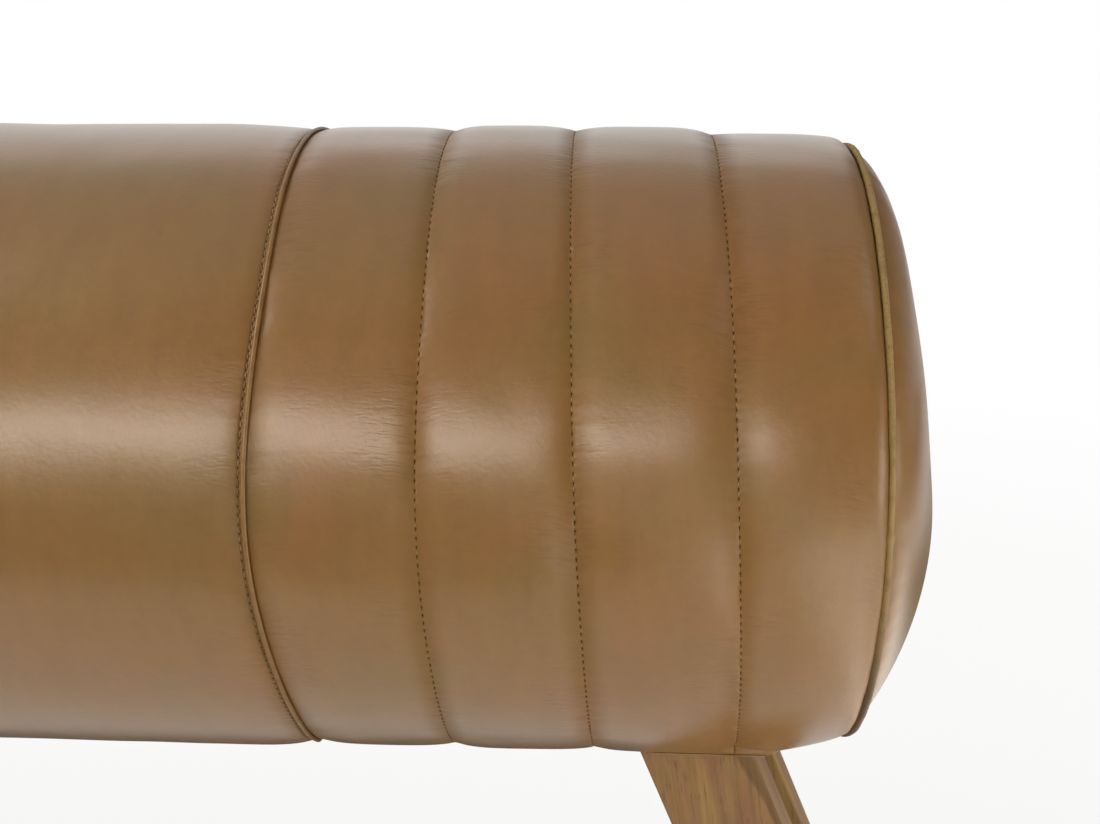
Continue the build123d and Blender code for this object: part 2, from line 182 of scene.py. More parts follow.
def body_section(size, radius, along, flange_y=None):
    """Points and outward directions on the body's section.

    along is the length of skin from the top, below zero at the front. The point turns about the axis by along
    over the radius until the lower corner, follows that corner's own arc, and then runs level inwards.
    """
    flange_y = size.flange_y if flange_y is None else flange_y
    middle, turn = corner_middle(size, radius)
    arc, corner = section_runs(size)
    side, run = np.where(along < 0, -1.0, 1.0), np.abs(along)
    angle = (np.pi - turn) * np.clip(run / arc, 0, 1)
    bend = turn * (1 - np.clip((run - arc) / corner, 0, 1))
    usual = corner_middle(size, size.body_radius)[0]
    under = np.clip(run - arc - corner, 0, None) * (middle - flange_y) / (usual - size.flange_y)
    on_arc = run <= arc
    level = size.underside_drop - size.corner_radius
    y = np.where(on_arc, radius * np.sin(angle), middle + size.corner_radius * np.sin(bend) - under)
    z = np.where(on_arc, radius * np.cos(angle), -level - size.corner_radius * np.cos(bend))
    out_y = np.where(on_arc, np.sin(angle), np.sin(bend))
    out_z = np.where(on_arc, np.cos(angle), -np.cos(bend))
    return side * y, z, side * out_y, out_z


def columns(size, step):
    """Places along the section: one every step on the round back, closer in the corners, wider underneath."""
    arc, corner = section_runs(size)
    flat = float(corner_middle(size, size.body_radius)[0]) - size.flange_y
    half = np.concatenate(
        [
            np.arange(0, arc - step / 2, step),
            arc + corner * np.linspace(0, 1, 8),
            arc + corner + flat * np.linspace(0, 1, 6)[1:],
        ]
    )
    return np.concatenate([-half[:0:-1], half])


def stations(start, stop, widest, first=0.08 * MM, growth=1.28):
    """Places between two seams: close at both, and each step is growth times the last up to the widest."""
    half, place, step = [0.0], 0.0, first
    while place + step < (stop - start) / 2 - widest / 3:
        place, step = place + step, min(step * growth, widest)
        half.append(place)
    half = np.array(half)
    return np.concatenate([start + half, [(start + stop) / 2], (stop - half)[::-1]])


def waves(seed, x, along, shortest, longest, count=14):
    """Gentle unevenness: a sum of sine waves of random length, direction and start, about one high."""
    rng = np.random.default_rng(seed)
    total = 0.0
    for _ in range(count):
        wavelength, turn, shift = rng.uniform(shortest, longest), *rng.uniform(0, 2 * np.pi, 2)
        total = total + np.sin(2 * np.pi / wavelength * (x * np.cos(turn) + along * np.sin(turn)) + shift)
    return total * math.sqrt(2 / count) / 2


def between(low, high, share):
    return low + (high - low) * share


def by_facing(low, top, up):
    """A size that is low where the leather faces down, and top where it faces up."""
    return between(low, top, (up + 1) / 2)


def seam_places(size):
    """The seams from the middle panel outwards, and the end cord."""
    return [WELT_X + n * size.channel_width for n in range(CHANNELS)] + [END_RING_X]


# How far each crown stands off the body's radius, at the top and at the underside, from the middle outwards.
CROWNS = np.array([(0.9, 1.1), (0.0, -0.6), (0.7, -0.2), (0.5, -0.5), (-2.0, -2.4)]) * MM
# How each seam runs, outwards along X: an offset, a slope by height, and how far it bows out above and below.
SEAM_LINES = np.array(
    [
        (-4.3 * MM, -0.018, 6.4 * MM),
        (0.2 * MM, -0.019, 2.6 * MM),
        (-0.6 * MM, -0.047, 0.9 * MM),
        (-0.1 * MM, -0.052, 0.8 * MM),
        (0.1 * MM, -0.0105, -1.2 * MM),
    ]
)
BOW_REACH = 115 * MM


def seam_line(z, offset, slope, bow):
    """An offset, plus a slope by height, plus a bow that rises as one less a cosine does up to its reach."""
    rise = (1 - np.cos(np.pi * np.clip(np.abs(z) / BOW_REACH, 0, 1))) / 2
    return offset + slope * z + bow * rise


def lean(size, x, z, end):
    """How far a place moves outwards along X at its height, between the lines of the two nearest seams.

    The left end moves a little less than the right.
    """
    places = [0, *seam_places(size)]
    line = (np.interp(np.abs(x), places, [0, *column]) for column in SEAM_LINES.T)
    return seam_line(z, *line) * (1.0 if end > 0 else 0.7)


def end_line(z):
    """The same for the seam round the domed end."""
    return seam_line(z, *SEAM_LINES[-1])


def facing_up(size, along):
    """How far the round back faces up: 1 on top, 0 at the sides, and nearly -1 at the lower corners."""
    arc, _ = section_runs(size)
    return np.cos(np.clip(along, -arc, arc) / size.body_radius)


def crown_radius(panel, size, up):
    """The body's radius on the crown of a panel, 0 for the middle one."""
    top, low = CROWNS[panel]
    return size.body_radius + by_facing(low, top, up)


def seam_radius(size, seam, up):
    """The radius at the bottom of a valley, the same for the panels on both sides of it."""
    mean = (crown_radius(seam, size, up) + crown_radius(seam + 1, size, up)) / 2
    extra = by_facing(0.9 * MM, 0.2 * MM, up) if seam == 0 else 0
    return mean - size.valley_depth - extra


def fold(size, gap):
    """The last bit of a panel, which turns down into the seam on a quarter round."""
    inner = np.clip(size.fold_radius - gap, 0, size.fold_radius)
    return size.fold_radius - np.sqrt(np.clip(size.fold_radius**2 - inner**2, 0, None))


def gathers(size, seed, along, gap, stitched=True):
    """What the thread does: a dimple at each needle hole, and small ridges that fade away from the seam."""
    ridges = waves(seed, 0 * gap, along, 5 * MM, 15 * MM) * 0.11 * MM * np.exp(-gap / (6 * MM))
    wide = waves(seed + 1, 0 * gap, along, 18 * MM, 60 * MM) * 0.22 * MM * np.exp(-gap / (13 * MM))
    pull = 0.5 + 0.5 * np.cos(2 * np.pi * along / size.stitch_pitch)
    dimple = 0.3 * MM * pull**2 * np.exp(-gap / (1.3 * MM)) if stitched else 0
    return (ridges + wide) * np.clip(gap / (1 * MM), 0, 1) - dimple


def channel_radius(size, n, end, x, along, folded=True):
    """The radius over channel n: a level crown, a valley at each seam, and on the last one a soft shoulder.

    A valley falls off as the exponential of minus a power of the gap over its reach.
    """
    inner_power, outer_power = 1.2, 1.1
    x = np.abs(x)
    start, stop = channel_span(size, n)
    up = facing_up(size, along)
    low_gap, high_gap = x - start, stop - x
    crown = crown_radius(n + 1, size, up)
    reach = by_facing(8.0 * MM, 5.5 * MM, up) if n == 0 else size.valley_reach
    low_share = np.exp(-((np.clip(low_gap, 0, None) / reach) ** inner_power))
    radius = crown - (crown - seam_radius(size, n, up)) * low_share
    away = 1 - low_share
    if n < CHANNELS - 1:
        high_share = np.exp(-((np.clip(high_gap, 0, None) / size.valley_reach) ** outer_power))
        radius = radius - (crown - seam_radius(size, n + 1, up)) * high_share
        away = away - high_share
    else:
        shoulder = by_facing(41 * MM, 34 * MM, up)
        share = np.clip((x - stop + shoulder) / shoulder, 0, 1)
        top_drop = 1.5 * MM * share**2 + 6.0 * MM * share**14
        low_drop = 8.9 * MM * share**1.6
        radius = radius - by_facing(low_drop, top_drop, up)
    seed = 100 * (n + 1) + (7 if end > 0 else 3)
    broad = waves(seed, x, along, 70 * MM, 240 * MM) * 0.45 * MM
    small = waves(seed + 1, x, along, 22 * MM, 60 * MM) * 0.12 * MM
    radius = radius + np.clip(away, 0, 1) * (broad + small)
    if folded:
        radius = radius + gathers(size, seed + 2, along, low_gap, n > 0)
        radius = radius + gathers(size, seed + 4, along, high_gap, n < CHANNELS - 1)
        radius = radius - fold(size, low_gap) - fold(size, high_gap)
    return radius


def channel_span(size, n):
    """Where channel n's leather starts and ends: pressed on the welt, and a hair clear of its neighbour."""
    seams = seam_places(size)
    pressed, hair = 0.3 * MM, 0.04 * MM
    start = seams[n] + (size.welt_radius - pressed if n == 0 else hair)
    return start, seams[n + 1] - hair


def stitch_row_x(size):
    """The stitch row of the middle panel, a lip's width short of its edge."""
    return WELT_X - size.welt_radius - size.lip_width


def centre_radius(size, x, along, folded=True):
    """The radius over the middle panel: level, rolled down to both ends, with a stitch row before each."""
    up = facing_up(size, along)
    edge = WELT_X - size.welt_radius
    gap = np.clip(edge - np.abs(x), 0, None)
    reach = between(9 * MM, 23 * MM, np.clip(up, 0, 1)) - between(0, 2 * MM, np.clip(-up, 0, 1))
    power = between(1.15, 0.95, np.clip(up, 0, 1))
    crown = crown_radius(0, size, up)
    roll = np.exp(-((gap / reach) ** power))
    radius = crown - (crown - seam_radius(size, 0, up) - 0.3 * MM) * roll
    broad = waves(11, x, along, 110 * MM, 380 * MM) * 0.55 * MM
    small = waves(12, x, along, 30 * MM, 90 * MM) * 0.13 * MM
    radius = radius + (1 - roll) * (broad + small)
    if folded:
        row = stitch_row_x(size) - np.abs(x)
        radius = radius + gathers(size, 21, along + 0.3 * np.sign(x), np.abs(row))
        radius = radius - 0.35 * MM * np.exp(-((row / (0.55 * MM)) ** 2))
        radius = radius - fold(size, gap)
    return radius


def along_bench(section, x, shift):
    """Joins section points and places along X to one grid of points about the bench's own origin."""
    y, z = section[0], section[1]
    return np.stack([np.broadcast_to(x + shift, y.shape), y, z + AXIS_Z], axis=-1)


def mesh_from(name, points, quads, rims, uv=None, marks=None):
    """A mesh from numpy points, four-sided faces and some many-sided rims, with its faces turned outwards."""
    quads = np.asarray(quads, dtype=np.int64).reshape(-1, 4)
    corners = [quads[:, [0, 1, 2]], quads[:, [0, 2, 3]]]
    corners += [np.stack([np.full(len(r) - 2, r[0]), r[1:-1], r[2:]], axis=1) for r in rims]
    a, b, c = (points[np.concatenate(corners)[:, n]] for n in range(3))
    if np.einsum("ij,ij->", a, np.cross(b, c)) < 0:
        quads, rims = quads[:, ::-1], [r[::-1] for r in rims]
    loops = np.concatenate([quads.ravel(), *rims]).astype(np.int32)
    sizes = np.concatenate([np.full(len(quads), 4), [len(r) for r in rims]]).astype(np.int32)
    mesh = bpy.data.meshes.new(name)
    mesh.vertices.add(len(points))
    mesh.vertices.foreach_set("co", points.astype(np.float32).ravel())
    mesh.loops.add(len(loops))
    mesh.loops.foreach_set("vertex_index", loops)
    mesh.polygons.add(len(sizes))
    mesh.polygons.foreach_set("loop_start", np.concatenate([[0], np.cumsum(sizes)[:-1]]).astype(np.int32))
    mesh.polygons.foreach_set("loop_total", sizes)
    mesh.update(calc_edges=True)
    mesh.validate()
    mesh.polygons.foreach_set("use_smooth", np.ones(len(mesh.polygons), dtype=bool))
    mesh.set_sharp_from_angle(angle=math.radians(70))
    if uv is not None:
        mesh.uv_layers.new(name="skin").data.foreach_set("uv", uv[loops].astype(np.float32).ravel())
    for mark, values in (marks or {}).items():
        layer = mesh.attributes.new(mark, "FLOAT", "POINT")
        layer.data.foreach_set("value", values.astype(np.float32).ravel())
    piece = bpy.data.objects.new(name, mesh)
    bpy.context.scene.collection.objects.link(piece)
    return piece


def grid_faces(rows, cols, wrap_rows=False, wrap_cols=False):
    """The four-sided faces of a grid of points, and the rims of its open ends."""
    index = np.arange(rows * cols).reshape(rows, cols)
    if wrap_rows:
        index = np.concatenate([index, index[:1]])
    if wrap_cols:
        index = np.concatenate([index, index[:, :1]], axis=1)
    quads = np.stack([index[:-1, :-1], index[1:, :-1], index[1:, 1:], index[:-1, 1:]], axis=-1).reshape(-1, 4)
    rims = []
    if wrap_rows and not wrap_cols:
        rims = [index[:-1, 0][::-1], index[:-1, -1]]
    if wrap_cols and not wrap_rows:
        rims = [index[0, :-1], index[-1, :-1][::-1]]
    return quads, rims


def grid_piece(name, points, wrap_rows=False, wrap_cols=False, uv=None, marks=None):
    """A closed piece from a grid of points that wraps round one way and is capped the other way."""
    rows, cols = points.shape[:2]
    quads, rims = grid_faces(rows, cols, wrap_rows, wrap_cols)
    flat_marks = {k: np.broadcast_to(v, (rows, cols)).ravel() for k, v in (marks or {}).items()}
    flat_uv = None if uv is None else np.broadcast_to(uv, (rows, cols, 2)).reshape(-1, 2)
    return mesh_from(name, points.reshape(-1, 3), quads, rims, flat_uv, flat_marks)


def dress(piece, material, nodes=()):
    """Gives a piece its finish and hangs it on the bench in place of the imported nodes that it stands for."""
    piece.data.materials.append(material)
    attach(piece, "root")
    if nodes:
        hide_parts(*nodes)
    return piece


def skin_step(size):
    return size.stitch_pitch / 4


def notch_for_leg(size, x, section, along, inset):
    """Ends the turned-in leather at the outer face of a leg, where it is cut to pass the leg."""
    inside = (np.abs(x) > LEG_LOW.x - LEG_GAP) & (np.abs(x) < LEG_LOW.x + LEG_RUN + 2 * LEG_GAP)
    face = abs(LEG_LOW.y) + LEG_GAP
    middle, turn = corner_middle(size, size.body_radius)
    bend = math.asin((face - middle) / size.corner_radius)
    arc, corner = section_runs(size)
    cut = arc + corner * (1 - bend / turn)
    past = inside & (np.abs(along) > cut)
    edge_z = -(size.underside_drop - size.corner_radius) - size.corner_radius * math.cos(bend)
    rise = (np.abs(along) - cut) / (np.abs(along).max() - cut) * 0.8 * MM
    y, z, *outward = section
    return np.where(past, np.sign(along) * (face + inset), y), np.where(past, edge_z + rise, z), *outward


def leather_panel(size, name, end, x, radius_of, material, nodes):
    """A sewn leather panel: its skin, closed at the back by an inner face one hide's thickness below."""
    along = columns(size, skin_step(size))[None, :]
    notches = [LEG_LOW.x - LEG_GAP, LEG_LOW.x + LEG_RUN + LEG_GAP]
    cuts = [c + d for c in notches for d in (-0.1 * MM, 0.1 * MM) if x[0] + MM < c < x[-1] - MM]
    outer = np.sort(np.concatenate([x, cuts]))[:, None]
    inner = outer[::-1][:: 1 if cuts else 4]
    inner = np.clip(inner, x[0] + 0.02 * MM, x[-1] - 0.02 * MM)
    points, side = [], end or 1
    for place, depth, folded in ((outer, 0.0, True), (inner, size.leather, False)):
        radius = np.broadcast_to(radius_of(side * place, along, folded), (len(place), along.shape[1]))
        radius = hold_underneath(size, over_leg(size, place, radius, along), along)
        y, z, out_y, out_z = body_section(size, radius, along)
        section = (y - out_y * depth, z - out_z * depth, out_y, out_z)
        if x[-1] > LEG_LOW.x - LEG_GAP:
            section = notch_for_leg(size, place, section, along, depth)
        shift = lean(size, place, section[1], side) * np.sign(side * place)
        points.append(along_bench(section, side * place, shift))
    places = np.concatenate([outer, inner])
    uv = np.stack(np.broadcast_arrays(along, places), axis=-1)
    marks = seam_marks(size, places, bool(end))
    piece = grid_piece(name, np.concatenate(points), wrap_rows=True, uv=uv, marks=marks)
    return dress(piece, material, nodes)


def over_leg(size, x, radius, along):
    """Brings the leather out to the top edge of a leg that it is stretched over, by a cosine all round."""
    half = LEG_RUN / 2
    beside = np.clip((np.abs(np.abs(x) - LEG_LOW.x - half) - half) / (10 * MM), 0, 1)
    arc, _ = section_runs(size)
    above = np.clip((arc - np.abs(along)) / (13 * MM), 0, 1)
    share = (0.5 + 0.5 * np.cos(np.pi * beside)) * (0.5 + 0.5 * np.cos(np.pi * above))
    return between(radius, np.maximum(radius, size.body_radius - 0.2 * MM), share)


def hold_underneath(size, radius, along):
    """Past the round back the section keeps the radius it had at its end, so the underside stays level."""
    on_arc = np.abs(along[0]) <= section_runs(size)[0]
    first, last = np.argmax(on_arc), len(on_arc) - 1 - np.argmax(on_arc[::-1])
    index = np.clip(np.arange(len(on_arc)), first, last)
    return radius[:, index]


def seam_marks(size, x, is_channel):
    """How far, in millimetres, each point lies from its nearest seam and from its nearest row of stitches."""
    seams = np.array(seam_places(size))
    distance = np.abs(np.abs(x)[..., None] - seams)
    rows = seams[1:-1] if is_channel else np.array([stitch_row_x(size)])
    stitch = np.abs(np.abs(x)[..., None] - rows)
    return {"to_seam": distance.min(axis=-1) / MM, "to_stitch": stitch.min(axis=-1) / MM}


def round_tips(along, length, least):
    """A cord's thickness along its run, as a share: rounded off over that length at both ends."""
    run = np.minimum(along - along[0], along[-1] - along)
    return np.sqrt(np.clip(1 - np.square(1 - np.clip(run / length, 0, 1)), least, 1))


def tube(name, size, x, radius, along, thickness, sides, end):
    """A cord round the body: a circle carried along the section, with round ends."""
    y, z, out_y, out_z = (v[:, None] for v in body_section(size, radius, along))
    turn = np.linspace(0, 2 * np.pi, sides, endpoint=False)
    r = (thickness * round_tips(along, np.mean(thickness), 0.02))[:, None]
    px = x + r * np.sin(turn) + lean(size, x, z, end) * end
    points = np.stack([px, y + r * np.cos(turn) * out_y, z + r * np.cos(turn) * out_z + AXIS_Z], axis=-1)
    uv = np.stack(np.broadcast_arrays(along[:, None], turn * np.mean(thickness)), axis=-1)
    return grid_piece(name, points, wrap_cols=True, uv=uv)


def stitch_row(name, size, end, x, radius_of, material, width, rise):
    """A row of stitches: each a short bowed thread that dives into the needle holes at both its ends."""
    count = int(section_runs(size)[0] / size.stitch_pitch) - 1
    middle = (np.arange(-count, count) + 0.5) * size.stitch_pitch
    rng = np.random.default_rng(int(x / MM) + end)
    step = np.linspace(-0.5, 0.5, 5)
    reach = size.stitch_pitch * 0.78 * (1 + rng.uniform(-0.06, 0.06, len(middle)))[:, None]
    along = middle[:, None] + step * reach
    radius = radius_of(along) + rise - 0.9 * MM * (2 * np.abs(step)) ** 3
    y, z, out_y, out_z = body_section(size, radius, along)
    turn = np.linspace(0, 2 * np.pi, 6, endpoint=False)
    thick = width / 2 * np.sqrt(1 - (1.7 * step) ** 2)
    slant = rng.uniform(-0.06, 0.06, len(middle))[:, None] * MM + 0.16 * MM * step
    px = (x + slant + lean(size, x, z, end))[..., None] + thick[:, None] * np.sin(turn)
    py = y[..., None] + (thick[:, None] * np.cos(turn)) * out_y[..., None]
    pz = z[..., None] + (thick[:, None] * np.cos(turn)) * out_z[..., None]
    points = np.stack([end * px, py, pz + AXIS_Z], axis=-1)
    quads, rims = grid_faces(len(step), len(turn), wrap_cols=True)
    offsets = len(step) * len(turn) * np.arange(len(middle))
    all_quads = (quads[None] + offsets[:, None, None]).reshape(-1, 4)
    all_rims = [rim + offset for offset in offsets for rim in rims]
    uv = np.stack(np.broadcast_arrays(along[..., None], turn * width), axis=-1).reshape(-1, 2)
    piece = mesh_from(name, points.reshape(-1, 3), all_quads, all_rims, uv)
    return dress(piece, material)


def dome_shares(first, count):
    """Shares of the way from a dome's top to its rim, closer together towards the rim."""
    return first + (1 - first) * (1 - (1 - np.linspace(0, 1, count)[:, None]) ** 2)


def end_ring(size, turn, radius):
    """The closed line that the domed end is sewn to: a circle cut off level below, with soft corners."""
    y = radius * np.sin(turn)
    z = size.end_ring_lift + radius * np.cos(turn)
    floor, soft = -size.underside_drop, 2.2 * MM
    above = (z - floor) / soft
    z = floor + soft * np.where(above > 20, above, np.log1p(np.exp(np.clip(above, -60, 20))))
    return y, z


def dome_points(size, end, turn, share, inset):
    """Points on the domed end, at a share of the way from its top to its rim.

    The rise is a rim part, the root of one less the share to a high power, and a main part that falls with a
    lower power of the share. It is flatter above than below halfway out, and fuller above beside the rim.
    """
    rim_power, main_power = 6.5, 2.2
    rim_y, rim_z = end_ring(size, turn, size.end_ring_radius - inset)
    y = share * rim_y
    z = -size.dome_sag + share * (rim_z + size.dome_sag)
    up = rim_z / size.end_ring_radius
    rise = size.dome_rim * np.sqrt(np.clip(1 - share**rim_power, 0, None))
    rise = rise + size.dome_rise * (1 - share**main_power)
    halfway, beside_rim = 4 * share * (1 - share), 15 * share**6 * (1 - share)
    rise = rise * (1 - (0.18 * up + 0.064 * up**2) * halfway)
    rise = rise + 2.5 * MM * np.sign(up) * np.abs(up) ** 1.5 * beside_rim
    away = (1 - share) * size.end_ring_radius
    arc = turn * size.end_ring_radius
    seed = 31 if end > 0 else 37
    pucker = waves(seed, 0 * away, arc, 9 * MM, 26 * MM) * 0.3 * MM * np.exp(-away / (9 * MM))
    soft = waves(seed + 1, y, z, 60 * MM, 160 * MM) * 0.7 * MM * (1 - share**4)
    rise = rise + (pucker + soft) * np.clip(away / (2 * MM), 0, 1) - inset
    return y, z, rise


# Finishes

# A wave texture of scale 1 has this many waves in a metre.
WAVES_PER_UNIT = 3.2
# Settings that many nodes share.
SMOOTH = {"interpolation_type": "SMOOTHSTEP"}
BLEND = {"data_type": "RGBA"}
TIMES = {"data_type": "RGBA", "blend_type": "MULTIPLY"}


def give(socket, value):
    """Fills a shader socket with a value, with another socket, or with a node's first output."""
    if isinstance(value, bpy.types.Node):
        value = next(out for out in value.outputs if out.enabled)
    if isinstance(value, bpy.types.NodeSocket):
        socket.id_data.links.new(value, socket)
    else:
        socket.default_value = (*value, 1.0) if socket.type == "RGBA" and len(value) == 3 else value


def add(tree, kind, inputs=None, **settings):
    """Adds a shader node, sets it up, and fills its sockets."""
    node = tree.nodes.new("ShaderNode" + kind)
    for key, value in settings.items():
        setattr(node, key, value)
    for key, value in (inputs or {}).items():
        give(node.inputs[key], value)
    return node


def empty_material(name):
    """A material without nodes, and the function that adds them."""
    material = bpy.data.materials.new(name)
    material.use_nodes = True
    material.node_tree.nodes.clear()
    return material, partial(add, material.node_tree)


def new_finish(name):
    """A material, the function that adds nodes to it, its surface shader, and the place on the piece."""
    material, node = empty_material(name)
    shader = node("BsdfPrincipled")
    node("OutputMaterial", {"Surface": shader})
    return material, node, shader, node("TexCoord").outputs["Object"]


def plug(shader, **sockets):
    """Gives the shader its patterns and even values; an underscore in a name stands for a space."""
    for name, value in sockets.items():
        give(shader.inputs[name.replace("_", " ")], value)


def leather_finish(name, size, colours, holes, wax=0.75):
    """Vegetable-tanned hide, dyed and waxed by hand.

    The eye sees soft rosy and olive clouds in the tan, a wax shine, fine pores, and short creases along the
    bench beside the seams. Shade is painted into the creases, the seams, the valleys and the needle holes.
    """
    material, node, shader, solid = new_finish(name)
    skin = solid.node.outputs["UV"]
    to_seam = node("Attribute", attribute_name="to_seam").outputs["Fac"]
    to_stitch = node("Attribute", attribute_name="to_stitch").outputs["Fac"]

    # The dye was wiped on by hand: clouds 120 and 60 mm wide.
    clouds = node("TexNoise", {"Vector": solid, "Scale": 1 / (120 * MM), "Detail": 1.5, "Distortion": 0.3})
    rosy = node("MapRange", {0: clouds, 1: 0.38, 2: 0.72}, **SMOOTH)
    base = node("Mix", {0: rosy, 6: colours.hide, 7: colours.hide_rose}, **BLEND)
    clouds = node("TexNoise", {"Vector": solid, "Scale": 1 / (60 * MM), "Detail": 1.5, "Distortion": 0.2})
    olive = node("MapRange", {0: clouds, 1: 0.42, 2: 0.75, 4: 0.8}, **SMOOTH)
    base = node("Mix", {0: olive, 6: base, 7: colours.hide_olive}, **BLEND)
    # Wax wiped round the body leaves streaks 9 by 40 mm, and the grain takes it unevenly every 4 mm.
    wiped = node("Mapping", {"Vector": skin, "Scale": (25, 110, 1)})
    streaks = node("TexNoise", {"Vector": wiped, "Scale": 1.0, "Detail": 2.0})
    grain = node("TexNoise", {"Vector": solid, "Scale": 1 / (4 * MM), "Detail": 4.0, "Roughness": 0.6})
    uneven = node("Math", {0: streaks, 1: grain}, operation="ADD")
    uneven = node("MapRange", {0: uneven, 1: 0.7, 2: 1.3, 3: 0.93, 4: 1.06})
    base = node("Mix", {0: 1.0, 6: base, 7: uneven}, **TIMES)

    # Creases 1.3 mm apart and 9 mm long, along the bench, in patches and beside the seams.
    wander = node("TexNoise", {"Vector": solid, "Scale": 1 / (7 * MM), "Detail": 1.0}).outputs["Color"]
    wander = node("VectorMath", {0: wander, 1: (1.6 * MM, 0, 0)}, operation="MULTIPLY")
    bent = node("VectorMath", {0: skin, 1: wander}, operation="ADD")
    drawn = node("Mapping", {"Vector": bent, "Scale": (1 / (1.3 * MM), 1 / (9 * MM), 1)})
    crease = node("TexNoise", {"Vector": drawn, "Scale": 1.0, "Detail": 1.0})
    crease = node("MapRange", {0: crease, 1: 0.46, 2: 0.7}, **SMOOTH)
    patches = node("TexNoise", {"Vector": solid, "Scale": 1 / (38 * MM), "Detail": 1.0})
    patches = node("MapRange", {0: patches, 1: 0.44, 2: 0.64, 3: 0.05, 4: 0.9}, **SMOOTH)
    beside = node("MapRange", {0: to_seam, 1: 2.0, 2: 34.0, 3: 0.9, 4: 0.1}, **SMOOTH)
    worked = node("Math", {0: patches, 1: beside}, operation="MULTIPLY")
    creased = node("Math", {0: crease, 1: worked}, operation="MULTIPLY")
    # The creases are painted darker, as the shade that falls in them.
    shaded = node("Math", {0: creased, 1: 0.22}, operation="MULTIPLY")
    base = node("Mix", {0: shaded, 6: base, 7: colours.hide_shade_and_dirt}, **BLEND)

    # Painted shade darkens the last third of a millimetre before a seam, and the valley a little.
    blurred = node("TexNoise", {"Vector": solid, "Scale": 1 / (3 * MM)})
    seam_shade = node("Math", {0: blurred, 1: -0.8, 2: to_seam}, operation="MULTIPLY_ADD")
    seam_shade = node("MapRange", {0: seam_shade, 1: -0.4, 2: 0.3, 3: 0.25, 4: 0.0}, **SMOOTH)
    valley = node("MapRange", {0: to_seam, 2: 10.0, 3: 0.14, 4: 0.0}, **SMOOTH)
    # dark holds all the painted shade at seams and valleys, and later in the needle holes.
    dark = node("Math", {0: seam_shade, 1: valley}, operation="MAXIMUM")
    base = node("Mix", {0: dark, 6: base, 7: colours.hide_shade_and_dirt}, **BLEND)

    # Pores of the grain side, a soft pebble every 2.5 mm, and the creases.
    pores = node("TexNoise", {"Vector": solid, "Scale": 1 / (0.7 * MM), "Detail": 2.0, "Roughness": 0.6})
    pebble = node("TexNoise", {"Vector": solid, "Scale": 1 / (2.5 * MM), "Detail": 2.0})
    height = node("Math", {0: pores, 1: 0.3, 2: pebble}, operation="MULTIPLY_ADD")
    height = node("Math", {0: creased, 1: -0.75, 2: height}, operation="MULTIPLY_ADD")
    if holes:
        # Needle holes lie one stitch apart along the skin, at the stitch row; the shade in them is painted
        # dark, and they are dented.
        run = node("SeparateXYZ", {0: skin}).outputs["X"]
        run = node("Math", {0: run, 1: 400 * size.stitch_pitch}, operation="ADD")
        beside = node("Math", {0: run, 1: size.stitch_pitch / 2}, operation="PINGPONG")
        beside = node("Math", {0: beside, 1: 0.75 / MM}, operation="MULTIPLY")
        off = node("CombineXYZ", {0: beside, 1: to_stitch})
        off = node("VectorMath", {0: off}, operation="LENGTH").outputs["Value"]
        hole_shade = node("MapRange", {0: off, 1: 0.2, 2: 0.6, 3: 0.6, 4: 0.0}, **SMOOTH)
        base = node("Mix", {0: hole_shade, 6: base, 7: colours.hide_shade_and_dirt}, **BLEND)
        dark = node("Math", {0: hole_shade, 1: dark}, operation="MAXIMUM")
        height = node("Math", {0: hole_shade, 1: -0.7, 2: height}, operation="MULTIPLY_ADD")

    # A hand-rubbed wax shine, duller in the folds.
    rough = node("MapRange", {0: grain, 1: 0.3, 2: 0.7, 3: 0.31, 4: 0.36})
    rough = node("Math", {0: dark, 1: 1.0, 2: rough}, operation="MULTIPLY_ADD")
    relief = node("Bump", {"Height": height, "Distance": 0.075 * MM, "Strength": 0.8})
    # Where seams, valleys and needle holes are painted dark, the shine and the wax coat fade.
    shine = node("MapRange", {0: dark, 2: 0.25, 3: 0.5, 4: 0.1})
    wax = node("MapRange", {0: dark, 2: 0.25, 3: wax, 4: 0.0})
    plug(shader, Base_Color=base, Roughness=rough, Specular_IOR_Level=shine, Coat_Weight=wax)
    plug(shader, Normal=relief, Coat_Normal=relief, IOR=1.5, Coat_Roughness=0.3)
    return material


